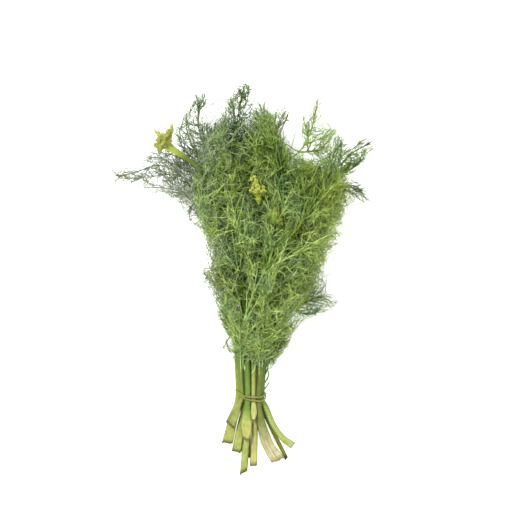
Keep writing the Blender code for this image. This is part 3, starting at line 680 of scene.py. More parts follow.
STEMS = [
    StemSizes(
        "top_1", StalkTone.SALLOW, LeafTone.FRESH, Sheath(4.6, 4.4, 1.0, 1.3, -0.25, -18, jag=1.0),
        [(-18.5, -25, 14.2), (-12.5, -12, 12.9), (-8.8, -4.5, 11.75)], (-7.9, TOP - 0.3), (1.68, 1.6),
        [(-9.5, 30, 18.5), (-9, 55, 28), (2, 89, 41), (14.5, 115, 50), (21, 138, 53), (27, 165, 55),
         (25, 202, 53), (15, 241, 46)],
        54, 14, 0.4, low_leaves=(11, 15, 21, 28, 40),
        sprays=[
            Spray(((11, 117, 53), (13, 134, 57), (18.6, 148.4, 58.7)), (7, 5)),
            Spray(((14.5, 114, 52), (27, 131, 60), (42, 149, 61), (50, 166, 58)), (5, 5), 9.0),
        ],
    ),
    StemSizes(
        "top_2", StalkTone.BULGE, LeafTone.FRESH, Sheath(3.1, 5.0, 1.3, 0.6, -0.35, 8, jag=0.3, point=1.5),
        [(-4.2, -38, 14.2), (-3.8, -20, 12.9)], (-2.9, TOP), (2.6, 1.85),
        [(-3.8, 40, 18), (-5.5, 75, 26), (-8, 110, 36), (-18, 145, 43), (-29, 172, 45), (-44, 196.4, 46.5)],
        66, 13, 2.0, terminal=26, low_leaves=(9, 14, 20, 27, 36),
    ),
    StemSizes(
        "top_3", StalkTone.STRAW, LeafTone.FRESH, Sheath(1.9, 2.9, 1.6, 0.0, 0.3, 0, jag=0.5, point=3.0),
        [(2.6, -21, 15.4), (2.4, -9, 13.2)], (2.2, TOP), (1.8, 1.8),
        [(2.4, 40, 18), (3.5, 75, 27), (5, 110, 37), (7, 136, 46), (6.6, 164, 53)],
        60, 9, 3.4, terminal=28, low_leaves=(8, 12, 18, 26, 34, 44),
    ),
    StemSizes(
        "top_4", StalkTone.BLUSHED, LeafTone.FRESH, Sheath(6.1, 4.9, 1.0, 1.4, -0.3, 14, jag=0.9),
        [(23.6, -56.2, 13.6), (14.3, -41, 13.2), (8.4, -20, 12.6)], (6.9, TOP), (2.5, 1.8),
        [(12, 40, 19), (19, 80, 31), (30, 120, 43), (45, 153, 51), (56, 172, 53), (80, 204, 51),
         (104, 220, 46)],
        58, 14, 5.2, terminal=66, spread=(13, 5), spacing=2.7, free=True, low_leaves=(8, 12, 17, 24, 31, 38),
        sprays=[
            Spray(((74, 190, 48), (86, 197, 46), (97, 206, 44)), (5, 3.5), 3.6),
            Spray(((60, 186, 50), (67, 199, 50), (71, 211, 48), (75, 222, 46)), (9, 6), 3.8),
        ],
    ),
    StemSizes(
        "mid_1", StalkTone.PALE, LeafTone.FADED, Sheath(4.7, 4.2, 1.2, 1.0, 0.15, -6),
        [(-20.9, -41.6, 8.6), (-15.6, -20, 8.2)], (-10.2, MID), (3.4, 2.05),
        [(-12.6, 40, 12), (-17, 85, 19), (-26, 130, 25), (-40, 165, 30), (-52, 184, 33), (-66, 195, 34),
         (-81, 200, 33), (-97, 195, 30), (-116, 190, 26)],
        60, 9, 2.6, terminal=84, spread=(10, 5), spacing=9.0, free=True, low_leaves=(34,),
        sprays=[
            Spray(((-52, 174, 29), (-66, 179, 28), (-80, 181, 27), (-92, 181, 26)), (8, 4), 8.5),
            Spray(((-45, 172, 28), (-54, 172, 25), (-63, 177, 22), (-70, 176, 20)), (8, 5), 6.0),
            Spray(((-54, 187, 33), (-66, 199, 36), (-78, 206, 37), (-90, 206, 36)), (11, 6), 7.2),
            Spray(((-60, 190, 33), (-74, 192, 31), (-86, 190, 29)), (2, 2), 12.0),
            Spray(((-92, 191, 30), (-98, 188, 29), (-104, 185, 28)), (3, 2), 6.0),
            Spray(((-48, 188, 34), (-54, 201, 37), (-66, 208, 39), (-80, 211, 39)), (7, 5), 8.0),
            Spray(((-114, 190.6, 26), (-118, 194.5, 26.5), (-121.5, 197, 27)), (0, 0), 50),
            Spray(((-113, 190.4, 26), (-117, 186.5, 26), (-121.5, 183, 26)), (0, 0), 50),
        ],
    ),
    StemSizes(
        "mid_2", StalkTone.PALE, LeafTone.DUSKY, Sheath(3.9, 3.5, 1.3, 0.7, 0.0, 4),
        [(-12.8, -48.8, 8.5), (-8.4, -24, 8.1)], (-4.7, MID), (2.1, 2.05),
        [(-6.5, 40, 12), (-9, 85, 19), (-14, 130, 26), (-27, 170, 30), (-36, 208, 31),
         (-45, 232, 30), (-45, 257, 27)],
        66, 12, 4.0, spread=(15, 8), spacing=4.5, free=True,
        sprays=[
            Spray(((-37, 199, 31), (-49, 206, 32), (-59, 216, 33), (-65, 232, 33)), (11, 6), 7.6),
            Spray(((-42, 204, 31), (-50, 216, 32), (-55, 230, 32), (-55, 247, 30)), (11, 6), 7.0),
            Spray(((-34, 182, 30), (-45, 190, 31), (-57, 196, 31), (-66, 203, 31)), (9, 6), 8.5),
            Spray(((-36, 214, 31), (-37, 225, 31), (-40, 235, 30)), (7, 4), 5.5),
            Spray(((-45, 242, 30), (-43, 252, 29), (-40, 261, 27)), (3, 2), 3.5),
        ],
    ),
    StemSizes(
        "mid_3", StalkTone.BROWNED, LeafTone.DEEP, Sheath(3.2, 3.0, 1.9, 0.0, 0.7, 10, jag=0.3),
        [(-6.6, -68.3, 8.2), (-3.7, -36, 8.0)], (0.0, MID), (2.1, 2.05),
        [(0, 40, 12.5), (-1, 85, 19), (-4, 130, 26), (-9, 170, 31), (-13, 205, 33), (-12, 237, 32),
         (-5, 271, 28)],
        70, 13, 0.9, terminal=70, spread=(16, 6), spacing=4.0, free=True, low_leaves=(44,),
        sprays=[
            Spray(((-4, 254, 30), (-2, 263, 29), (-2, 270, 28)), (3, 2.5), 3.0),
            Spray(((-13, 236, 32), (-15, 247, 31), (-18, 258, 29)), (6, 3), 3.6),
        ],
    ),
    StemSizes(
        "mid_4", StalkTone.STRAW, LeafTone.DUSKY, Sheath(3.1, 2.8, 1.5, 0.4, 0.1, -4, jag=0.3),
        [(2.2, -61.2, 8.2), (3.2, -30, 8.0)], (4.7, MID), (2.1, 2.05),
        [(6, 40, 12.5), (9, 85, 19), (13, 130, 26), (14, 170, 31), (17, 205, 32), (33, 247, 28)],
        66, 12, 5.7, low_leaves=(34,),
        sprays=[
            Spray(((22, 229, 30), (26, 240, 29), (31, 248, 28)), (4, 3), 4.0),
            Spray(((20, 232, 30), (21, 240, 29), (22, 247, 28)), (3, 2), 4.0),
            Spray(((20, 226, 30), (26, 235, 29), (32, 240, 28)), (4, 3), 4.0),
            Spray(((16, 222, 32), (11, 240, 31), (12, 255, 29)), (5, 3), 4.2),
        ],
    ),
    StemSizes(
        "mid_5", StalkTone.LIME, LeafTone.FRESH, Sheath(3.2, 2.4, 1.1, 0.9, -0.1, -12),
        [(36.0, -43.5, 9.4), (27.4, -37, 9.0), (19.0, -25, 8.6), (13.3, -11, 8.1)], (9.4, MID), (2.4, 2.05),
        [(14, 40, 13), (24, 85, 20), (43, 130, 27), (60, 158, 32), (76, 178, 33), (89, 182, 32),
         (101, 169, 28)],
        26, 15, 1.2, terminal=58, spread=(11, 4.5), free=True, low_leaves=(9, 14, 20),
        sprays=[
            Spray(((26, 82, 20), (42, 80, 17), (58, 86, 14), (71, 82, 11)), (11, 8), 4.6),
            Spray(((34, 77, 18), (44, 72, 15), (52, 71, 13), (59, 74, 11)), (7, 5), 4.2),
            Spray(((78, 180, 32), (86, 177, 31), (93, 173, 30)), (6, 4), 4.0),
            Spray(((14, 27, 14), (19, 38, 15), (27, 50, 15), (33, 61, 14)), (7, 6)),
            Spray(((14, 22, 12), (16, 30, 12), (21, 39, 11), (26, 46, 10)), (4, 4)),
        ],
    ),
    StemSizes(
        "low_1", StalkTone.GREEN, LeafTone.DUSKY, Sheath(2.5, 2.4, 1.6, 0.3, 0.0, 0),
        [(-8.4, -49, 2.7), (-7.6, -24, 3.3)], (-7.05, LOW), (2.1, 1.95),
        [(-10.5, 40, 4.6), (-16, 85, 6.5), (-25, 130, 8), (-37, 160, 9), (-48, 182, 9), (-58, 204, 8)],
        34, 9, 3.0, low_leaves=(26,),
        sprays=[
            Spray(((-12, 52, 5), (-19, 50, 5), (-25, 40, 5)), (5, 4)),
            Spray(((-9, 44, 8), (-12, 54, 10), (-19, 66, 11), (-25, 80, 12)), (4, 5)),
            Spray(((-43, 172, 10), (-50, 168, 9), (-54, 160, 8), (-53, 152, 7)), (6, 4), 5.5),
            Spray(((-48, 180, 10), (-56, 184, 11), (-62, 180, 12), (-66, 173, 11)), (7, 4), 6.0),
        ],
    ),
    StemSizes(
        "low_2", StalkTone.OLIVE, LeafTone.DEEP, Sheath(2.0, 2.0, 1.5, 0.0, 0.3, 0),
        [(-2.3, -55, 2.6), (-2.3, -26, 3.3)], (-2.35, LOW), (2.1, 1.95),
        [(-4, 40, 4.8), (-6.5, 85, 7), (-10, 130, 8.5), (-16, 175, 9.5), (-22, 215, 10), (-27, 243, 9)],
        58, 9, 5.0,
    ),
    StemSizes(
        "low_3", StalkTone.GREEN, LeafTone.YOUNG, Sheath(3.0, 2.6, 1.4, 0.5, -0.1, 0),
        [(13.2, -44.5, 2.8), (6.0, -22, 3.3)], (2.35, LOW), (2.1, 1.95),
        [(4, 40, 4.8), (8, 85, 7), (15, 130, 8.5), (22, 172, 10), (31, 202, 13), (43, 214, 15), (51, 228, 17),
         (56, 246, 17), (58.5, 259, 17)],
        56, 8, 0.2, terminal=40, spread=(6, 5), spacing=3.6, free=True,
        sprays=[
            Spray(((52, 213, 15), (60, 215, 16), (68, 223, 17), (74, 231, 17)), (3, 7), 3.4),
            Spray(((56, 213, 15), (62, 211, 15), (67, 213, 15)), (3, 3), 3.4),
            Spray(((55, 222, 16), (63, 226, 17), (68, 232, 17)), (7, 5), 3.8),
            Spray(((30, 219, 15), (38, 214.5, 15), (45, 212.5, 15), (50, 215, 15), (53, 222, 15)), (0, 0), 50),
            Spray(((50, 222, 16), (47.5, 232, 16), (45, 246, 16)), (3, 2), 4.0),
        ],
    ),
    StemSizes(
        "low_4", StalkTone.OLIVE, LeafTone.FRESH, Sheath(1.6, 1.7, 1.4, 0.0, 0.6, 0),
        [(31, -56, 2.2), (17.5, -28, 3.0)], (7.05, LOW), (2.1, 1.95),
        [(13, 40, 4.8), (24, 85, 6.5), (41, 130, 8), (58, 160, 9), (72, 192, 8)],
        24, 13, 2.2, low_leaves=(10, 16),
        sprays=[
            Spray(((12.2, 5.8, 8), (14.2, 8.4, 9), (16.2, 11.6, 9)), (0, 0), 50),
            Spray(((12.8, 12, 8), (14.6, 15, 9), (15.4, 19, 9), (14.2, 23, 10)), (0, 0), 50),
        ],
    ),
]


# Stalks


@dataclass
class Stalk:
    """The pale lower part of a stem, with its ribbed skin and its cut end."""

    sizes: StemSizes
    neck_half: float = 1.55
    points_round: int = 44
    ring_step: float = 1.3 * MM
    rib_depth: float = 0.13
    rib_count: int = 11
    # The section is fuller than an ellipse, and the skin lies just inside the sizes. The sheath narrows over a
    # share of the foot, and the cut's jags fade out over a few millimetres
    fullness: float = 0.85
    fit: float = 0.98
    sheath_share: float = 0.86
    torn: float = 7.0

    def outline(self, wide: float, thick: float, gutter: float) -> np.ndarray:
        """The section of the stalk, with ribs round it.

        Args:
            wide: Half its width, in millimetres.
            thick: Half its thickness, in millimetres.
            gutter: How deep its upper side is hollowed, in millimetres.

        Returns:
            Points across and up, shape (n, 2), in millimetres.
        """
        turn = 2 * math.pi * np.arange(self.points_round) / self.points_round + math.pi
        rib = 1 + self.rib_depth * np.cos(self.rib_count * 2 * turn) / max(wide, thick)
        share = np.cos(turn)
        bow = np.sign(np.sin(turn)) * np.abs(np.sin(turn)) ** self.fullness
        return np.stack([share * wide * rib, gutter * (share**2 - 0.5) + bow * thick * rib], axis=1)

    def rings(self, way: Way) -> tuple[np.ndarray, np.ndarray, np.ndarray]:
        """The skin's rings, from the cut end to the neck.

        Args:
            way: The stem's way.

        Returns:
            Ring points of shape (rings, round, 3), the grade of each ring and its run in metres.
        """
        stem, sheath = self.sizes, self.sizes.sheath
        rng = np.random.default_rng([SEED, len(stem.name), ord(stem.name[0]), int(stem.name[-1])])
        tie_run, neck_run = way.run_at_height(0.0), way.run_at_height(stem.neck * MM)
        runs = np.linspace(0.0, neck_run, max(12, round(neck_run / self.ring_step)))
        waves = rng.normal(size=6)
        rings, grades = [], []
        for run in runs:
            ahead = way.along(run)
            below = min(run / (self.sheath_share * tie_run), 1.0)
            above = max(run - tie_run, 0.0) / (neck_run - tie_run)
            belly = blend(sheath.cut, sheath.belly, below / 0.35)
            wide = blend(belly, stem.tie_half[0], (below - 0.3) / 0.7)
            thick = blend(sheath.thick, stem.tie_half[1], below)
            gutter = blend(sheath.gutter, 0.0, (below - 0.2) / 0.8)
            wide, thick = blend(wide, self.neck_half, above), blend(thick, self.neck_half, above)
            roll = math.radians(blend(sheath.roll, 0.0, below))
            up = np.array([-math.sin(roll), 0.0, math.cos(roll)])
            across = unit(np.cross(ahead, up))
            up = np.cross(across, ahead)
            section = self.outline(wide * self.fit, thick * self.fit, gutter)
            near_cut = max(0.0, 1 - run / (self.torn * MM)) ** 1.5
            turn = np.arctan2(section[:, 1], section[:, 0])
            ragged = sum(waves[k] * np.cos((2 * k + 3) * turn + 5 * waves[k]) for k in range(4)) * 0.8
            pointed = sheath.point * (np.abs(section[:, 0]) / wide) ** 1.5
            slant = sheath.slant * (1 - below) * section[:, 0]
            slant += 0.4 * abs(sheath.slant) * sheath.cut * (1 - below)
            shift = slant + near_cut * (np.clip(ragged, -0.9, 0.9) * sheath.jag + 0.45 * pointed - 0.9)
            ring = way.at(run) + (across * section[:, :1] + up * section[:, 1:] + ahead * shift[:, None]) * MM
            ring[:, 2] = np.maximum(ring[:, 2], 0.02 * MM)
            rings.append(ring)
            grades.append(0.5 * run / tie_run if run < tie_run else 0.5 + 0.5 * above)
        return np.array(rings), np.array(grades), runs

    def build(self, way: Way) -> bpy.types.Object:
        """Makes the stalk and dresses it.

        Args:
            way: The stem's way.

        Returns:
            The stalk's object.
        """
        rings, grades, runs = self.rings(way)
        count, around = rings.shape[:2]
        girth = 2 * math.pi * self.sizes.tie_half[0] * MM
        place = np.arange(around) / around
        skin = np.zeros((count, around, 3))
        skin[..., 0] = np.abs(place - 0.5) * 2 * girth
        skin[..., 1] = runs[:, None]
        skin[..., 2] = 0.02 * self.sizes.first_turn
        side = np.tile(np.abs(np.cos(2 * math.pi * place)), count)
        # The cut: a rim, then flesh sunk a little way in
        ahead = unit(rings[2].mean(axis=0) - rings[0].mean(axis=0))
        first = rings[0]
        middle = first.mean(axis=0)
        rim = middle + (first - middle) * 0.82 + ahead * 0.5 * MM
        heart = middle + ahead * 0.9 * MM
        verts = np.concatenate([rings.reshape(-1, 3), rim, heart[None], rings[-1].mean(axis=0)[None]])
        size, k = count * around, np.arange(around)
        onward = (k + 1) % around
        faces = ring_faces(count, around, inward=True)
        faces += [np.stack([k, onward, size + onward], 1), np.stack([k, size + onward, size + k], 1)]
        faces.append(fan_faces(size, around, size + around))
        faces.append(fan_faces(size - around, around, size + around + 1, inward=True))
        grade = np.concatenate([np.repeat(grades, around), np.full(around, 0.04), [0.12, 1.0]])
        skin = np.concatenate([skin.reshape(-1, 3), skin[0], skin[0, :1], skin[-1, :1]])
        side = np.concatenate([side, np.zeros(around + 2)])
        builder = MeshBuilder()
        builder.add(verts, np.concatenate(faces), grade=grade, skin=skin, side=side)
        name, tone = self.sizes.name, self.sizes.skin
        skin_material = STALK_SKINS[tone].material(f"dill_stalk_{tone.value}_{name}")
        return builder.make(f"stalk_skin_{name}", skin_material)


# Leaves


@dataclass
class Shoots:
    """Thin bent branches: start, heading, the normal of the blade, length, sag at the tip, and tone."""

    start: np.ndarray
    heading: np.ndarray
    blade: np.ndarray
    length: np.ndarray
    sag: np.ndarray
    tone: np.ndarray

    def __len__(self) -> int:
        """How many branches there are."""
        return len(self.length)

    def at(self, share: float) -> np.ndarray:
        """The points this far along every branch, from 0 to 1."""
        return self.start + self.heading * (self.length * share)[:, None] + self.sag * share**2

    def along(self, share: float) -> np.ndarray:
        """The directions this far along every branch."""
        return unit(self.heading * self.length[:, None] + 2 * self.sag * share)

    def chosen(self, keep: np.ndarray) -> "Shoots":
        """The branches that the mask or the numbers name."""
        return Shoots(*(getattr(self, part.name)[keep] for part in fields(self)))

    def lines(self, rings: int, thick: float, thin: float, lift: float = 0.0) -> Lines:
        """Centre lines for tubes along the branches.

        Args:
            rings: How many points each line has.
            thick: Half the width at the root, in millimetres.
            thin: Half the width near the tip, in millimetres.
            lift: How much lighter the tip is than the root.

        Returns:
            The lines.
        """
        shares = np.linspace(0.0, 1.0, rings)
        centre = np.stack([self.at(s) for s in shares], axis=1)
        half = np.tile((thick + (thin - thick) * shares) * MM, (len(self), 1))
        # The highest leaves press together below the top of the bunch
        above = np.maximum(centre[..., 2] - SOFT_TOP * MM, 0.0)
        centre[..., 2] -= above - TOP_ROOM * MM * np.tanh(above / (TOP_ROOM * MM))
        centre[..., 2] = np.maximum(centre[..., 2], half + TABLE_CLEAR * MM)
        return Lines(centre, half, self.tone[:, None] + lift * shares)


def lone_shoot(root: np.ndarray, ahead: np.ndarray, length: float, tone: float) -> Shoots:
    """One straight branch from its root, along a unit direction."""
    up, straight = np.array([UPWARD]), np.zeros((1, 3))
    return Shoots(root[None], ahead[None], up, np.array([length]), straight, np.array([tone]))


def gathered(groups: list[Shoots]) -> Shoots:
    """One set of all the branches in these sets."""
    return Shoots(*(np.concatenate([getattr(g, part.name) for g in groups]) for part in fields(Shoots)))


@dataclass(frozen=True)
class Branching:
    """How side branches leave a branch: where, at what angle, how long, how far out of plane, how wavy."""

    shares: tuple
    angle: float
    angle_stray: float
    length: float
    taper: float
    out_of_plane: float
    wave: float
    onward: float = 0.3
    tone_stray: float = 0.1

    def grow(self, parents: Shoots, rng: np.random.Generator) -> Shoots:
        """Grows a pair of side branches at each share of every parent.

        Args:
            parents: The branches that carry them.
            rng: Where the strays are drawn from.

        Returns:
            The side branches.
        """
        groups, count = [], len(parents)
        usual = float(np.median(parents.length)) if count else 1.0
        for share in self.shares:
            for side in (-1.0, 1.0):
                nudged = float(np.clip(share + rng.uniform(-0.05, 0.05), 0.02, 1.0))
                ahead = parents.along(nudged)
                across = unit(np.cross(parents.blade, ahead)) * side
                up = np.cross(ahead, across)
                tilt = rng.normal(0.0, self.out_of_plane, count)[:, None]
                out = across * np.cos(tilt) + up * np.sin(tilt)
                angle = np.radians(self.angle + rng.normal(0.0, self.angle_stray, count))[:, None]
                heading = unit(ahead * np.cos(angle) + out * np.sin(angle))
                rough = np.cross(parents.blade, heading) + rng.normal(0, 0.4, (count, 3))
                blade = unit(np.cross(heading, rough))
                length = self.length * MM * (1 - self.taper * share) * rng.uniform(0.6, 1.25, count)
                length *= np.clip(parents.length / usual, 0.5, 1.4) ** 0.7
                # Young branches bend back towards the way their parent grows, and stray a little
                sag = (ahead * self.onward + rng.normal(0.0, self.wave, (count, 3))) * length[:, None]
                tone = parents.tone + rng.normal(0.0, self.tone_stray, count)
                groups.append(Shoots(parents.at(nudged), heading, blade, length, sag, tone))
        return gathered(groups)


@dataclass(frozen=True)
class LeafEdge:
    """Where the dense foliage ends on each side and above, read along the bunch, in millimetres."""

    heights: tuple = (
        10, 20, 30, 42, 52, 66, 84, 98, 108, 118, 130, 142, 156, 170, 186, 198, 207, 217, 232, 245, 250, 255,
        262, 271,
    )
    left: tuple = (
        -14, -15, -17, -23, -18, -31, -32, -45, -43, -38, -42, -43, -48, -51, -51, -50, -46, -41, -35, -30,
        -28, -26, -20, -9,
    )
    right: tuple = (
        14, 17, 21, 36, 39, 40, 48, 66, 69, 67, 78, 79, 84, 85, 86, 79, 47, 36, 27, 24, 12, 4, 3, 1
    )
    top: tuple = (
        19, 22, 26, 31, 37, 45, 52, 56, 58, 61, 63, 65, 66, 67, 67, 67, 66, 64, 59, 54, 51, 49, 47, 44
    )
    # Daylight reaches down to this share of the rounded top, and the leaves are duller by their age
    lit_share: float = 0.55
    age_heights: tuple = (70, 125, 165, 188, 210, 225)
    age: tuple = (-0.07, -0.07, 0.02, 0.17, 0.1, 0.12)

    def holds(self, points: np.ndarray, spare: np.ndarray | float = 0.0) -> np.ndarray:
        """Which of the points are inside the edge.

        Args:
            points: The points, in metres.
            spare: How far outside it they may be, in millimetres.

        Returns:
            A mask.
        """
        x, y, z = (points[:, k] / MM for k in range(3))
        return (
            (x > np.interp(y, self.heights, self.left) - spare)
            & (x < np.interp(y, self.heights, self.right) + spare)
            & (z < np.interp(y, self.heights, self.top) + 0.4 * np.asarray(spare))
            & (y < self.heights[-1] + 1)
            & (y > self.heights[0] + np.asarray(spare))
        )

    def aside(self, points: np.ndarray) -> np.ndarray:
        """How far to the side points are, from 0 in the middle to 1 at the edge and more outside it."""
        left, right = (np.interp(points[..., 1] / MM, self.heights, edge) for edge in (self.left, self.right))
        return np.abs(points[..., 0] / MM - (left + right) / 2) / ((right - left) / 2)

    def tufts(self, points: np.ndarray) -> np.ndarray:
        """How far points are in one of the tufts and notches that the edge has every centimetre.

        Args:
            points: The points, in metres.

        Returns:
            A number for each point, about -1 in a notch and 1 in a tuft.
        """
        x, y, z = (points[:, k] / MM for k in range(3))
        coarse = np.sin(0.8 * y + 0.3 * x + 2 * np.sin(0.23 * y)) * np.cos(0.25 * z) * 0.6
        return coarse + 0.5 * np.sin(0.55 * x - 0.35 * y)

    def crown(self, points: np.ndarray) -> np.ndarray:
        """The height of the bunch's rounded top over each of the points, in millimetres."""
        rounded = 1 - 0.6 * np.clip(self.aside(points), 0.0, 1.05) ** 3
        return np.interp(points[..., 1] / MM, self.heights, self.top) * rounded

    def reached(self, points: np.ndarray) -> np.ndarray:
        """Which of the points daylight reaches through the leaves above them."""
        return points[..., 2] / MM > self.lit_share * self.crown(points)

    def light(self, points: np.ndarray) -> np.ndarray:
        """How much painted light and shade the leaves' tone gets: lighter near the top of the bunch and in the
        open, darker deep in it.

        Args:
            points: The points, in metres.

        Returns:
            What the tone gains at each point.
        """
        depth = self.crown(points) - points[..., 2] / MM
        aside = self.aside(points)
        # Painted light and shade: threads near the rounded top get a lighter tone and those deep under it a
        # darker one, less so towards the sides
        depth_light_and_shade = np.clip(0.24 - 0.026 * depth, -0.5, 0.32) * (1 - 0.75 * np.clip(aside, 0.0, 1.0) ** 2)
        # Threads out in the open beside the bunch get a little painted light
        free = np.clip((aside - 1.0) / 0.12, 0.0, 1.0)
        # The leaves grow older and duller towards the tips of the bunch
        old = np.interp(points[..., 1] / MM, self.age_heights, self.age)
        return depth_light_and_shade * (1 - free) + 0.04 * free - old


@dataclass(frozen=True)
class Clearing:
    """A column over a bright piece that the foliage leaves open: its middle line and its radius."""

    line: np.ndarray
    radius: float

    def covers(self, points: np.ndarray) -> np.ndarray:
        """Which of the points are in the column.

        Args:
            points: The points, in metres.

        Returns:
            A mask.
        """
        away = np.linalg.norm(points[:, None, :2] - self.line[None, :, :2], axis=2)
        nearest = away.argmin(axis=1)
        above = points[:, 2] > self.line[nearest, 2]
        return (away[np.arange(len(points)), nearest] < self.radius * MM) & above


def column(points: tuple, radius: float) -> Clearing:
    """Makes a clearing of this radius over the line through these points, all in millimetres."""
    way = Way(np.array(points, float) * MM, 0)
    return Clearing(way.at(np.linspace(0, way.length, 14)), radius)


@dataclass
class LeafyTop:
    """The green part of a stem: its axis, its leaves and the frond at its tip, divided down to threads."""

    sizes: StemSizes
    edge: LeafEdge
    clearings: list[Clearing]
    # The corners of the space that the threads may fill, then half widths from root to tip
    low: tuple = (-121.0, 8.0, -5.0)
    high: tuple = (107.5, 271.5, 68.0)
    axis_half: tuple = (1.5, 0.85, 0.62, 0.48)
    rachis_half: tuple = (0.66, 0.46)
    side_half: tuple = (0.35, 0.27)
    split_half: tuple = (0.3, 0.23)
    thread_half: tuple = (0.27, 0.21)
    leaf_length: float = 84.0
    low_leaf_length: float = 64.0
    leaf_angle: float = math.radians(11)
    arch: float = 0.27
    low_arch: float = 0.17
    airiness: float = 0.79
    ragged: float = 4.2
    clear_share: float = 0.93
    open_width: float = 0.86
    pinnae: Branching = Branching(
        (0.28, 0.37, 0.46, 0.55, 0.64, 0.73, 0.82, 0.92), 50, 15, 25.0, 0.6, 0.8, 0.28, tone_stray=0.14
    )
    low_pinnae: Branching = Branching(
        (0.48, 0.56, 0.64, 0.72, 0.81, 0.91), 36, 12, 22.0, 0.6, 0.8, 0.28, tone_stray=0.14
    )
    segments: Branching = Branching((0.2, 0.42, 0.64, 0.86), 46, 24, 14.0, 0.3, 1.1, 0.6, tone_stray=0.3)
    threads: Branching = Branching((0.35, 0.72), 48, 26, 9.4, 0.2, 1.3, 0.9, tone_stray=0.46)
    open_segments: Branching = Branching((0.2, 0.48, 0.78), 34, 14, 16.0, 0.3, 0.6, 0.38, tone_stray=0.16)
    open_threads: Branching = Branching((0.4, 0.8), 34, 16, 9.6, 0.2, 0.8, 0.38, tone_stray=0.16)

    def rising(
        self, way: Way, run: np.ndarray, length: np.ndarray, turn: np.ndarray, arch: float,
        rng: np.random.Generator,
    ) -> Shoots:
        """Leaves that rise along the stem and arch away from it, kept off the table and inside the bunch.

        Args:
            way: The stem's way.
            run: The length along it at which each leaf starts.
            length: How long each leaf is, in metres.
            turn: The angle round the stem at which each leaf leaves it.
            arch: How far they bend away from the stem, as a share of their length.
            rng: Where the strays are drawn from.

        Returns:
            The leaves' main ribs.
        """
        count = len(run)
        ahead = way.along(run, 3 * MM)
        start = way.at(run)
        across = unit(np.cross(ahead, UPWARD))
        up = np.cross(across, ahead)
        arch = arch * rng.uniform(0.5, 1.35, count)
        stray = rng.normal(0.0, 0.07, (count, 3))
        cos, sin = np.cos(turn), np.sin(turn) * 0.8
        for attempt in range(3):
            out = across * cos[:, None] + up * sin[:, None]
            heading = unit(ahead * math.cos(self.leaf_angle) + out * math.sin(self.leaf_angle))
            sag = (out * arch[:, None] + stray) * length[:, None]
            tip = start + heading * length[:, None] + sag
            low = tip[:, 2] < 2 * MM
            sin = np.where(low, np.abs(sin) * 0.5, sin)
            wide = ~self.edge.holds(tip, 4.0) & ~low
            # A leaf that would stand out of the bunch turns inwards, and then grows shorter
            cos = np.where(wide & (attempt == 0), -cos, cos)
            length = np.where(wide & (attempt > 0), length * 0.72, length)
        sag[:, 2] += np.maximum(1.5 * MM - (start + heading * length[:, None] + sag)[:, 2], 0.0)
        blade = unit(np.cross(np.cross(ahead, out), heading) + rng.normal(0, 0.5, (count, 3)))
        return Shoots(start, heading, blade, length, sag, rng.normal(0.5, 0.17, count))

    def leaves(self, way: Way, start: float, end: float, rng: np.random.Generator) -> tuple[Shoots, Shoots]:
        """The leaves up the axis, each turned by the golden angle from the last, and those on the stalk.

        Args:
            way: The stem's way.
            start: The length along it where the leafy part begins.
            end: The length where the frond at the tip takes over.
            rng: Where the strays are drawn from.

        Returns:
            The main ribs of the leaves on the axis, and of those on the stalk.
        """
        count = self.sizes.leaves
        share = np.arange(count) / count
        run = start + (end - 8 * MM - start) * share
        left = way.length - run
        length = np.minimum(self.leaf_length * MM * (1.0 - 0.25 * share), left * 0.92)
        length *= rng.uniform(0.8, 1.12, count)
        turn = self.sizes.first_turn + np.arange(count) * GOLDEN_ANGLE
        upper = self.rising(way, run, length, turn, self.arch, rng)
        run = np.array([way.run_at_height(height * MM) for height in self.sizes.low_leaves])
        count = len(run)
        length = self.low_leaf_length * MM * rng.uniform(0.45, 1.15, count)
        lower = self.rising(way, run, length, rng.uniform(0.2, 2.9, count), self.low_arch, rng)
        return upper, lower

    def pinnae_along(
        self, way: Way, start: float, spread: tuple, spacing: float, rng: np.random.Generator
    ) -> Shoots:
        """Pairs of side ribs along a frond that follows a given way.

        Args:
            way: The way of its main rib.
            start: The length along it of the first pair.
            spread: How far they reach to each side there and at the tip, in millimetres.
            spacing: The distance from pair to pair, in millimetres.
            rng: Where the strays are drawn from.

        Returns:
            The side ribs.
        """
        end = way.length
        runs = np.arange(start, end - 1.0 * MM, spacing * MM)
        groups, count = [], len(runs)
        for side in (-1.0, 1.0):
            run = runs + rng.uniform(-1.5, 1.5, count) * MM
            ahead = way.along(run, 2.5 * MM)
            flat = unit(np.cross(ahead, UPWARD)) * side
            up = np.cross(ahead, flat) * side
            tilt = rng.normal(0.0, 0.6, count)[:, None]
            out = flat * np.cos(tilt) + up * np.sin(tilt)
            angle = np.radians(36 + rng.normal(0, 8, count))[:, None]
            heading = unit(ahead * np.cos(angle) + out * np.sin(angle))
            share = np.clip((run - start) / max(end - start, MM), 0, 1)
            length = (spread[0] + (spread[1] - spread[0]) * share) * 1.45 * MM * rng.uniform(0.65, 1.1, count)
            sag = (ahead * 0.25 + rng.normal(0, 0.1, (count, 3))) * length[:, None]
            blade = unit(np.cross(heading, np.cross(UPWARD, heading)) + rng.normal(0, 0.35, (count, 3)))
            groups.append(Shoots(way.at(run), heading, blade, length, sag, rng.normal(0.5, 0.14, count)))
        return gathered(groups)

    def spray_way(self, way: Way, spray: Spray) -> Way:
        """A spray's whole way, from the axis that it leaves.

        Args:
            way: The stem's way.
            spray: The spray.

        Returns:
            Its way, in metres.
        """
        points = np.array(spray.points) * MM
        nearest = int(np.argmin(np.linalg.norm(way.points - points[0], axis=1)))
        return Way(np.vstack([way.at(max(float(way.run[nearest]) - 7 * MM, 0.0)), points]))

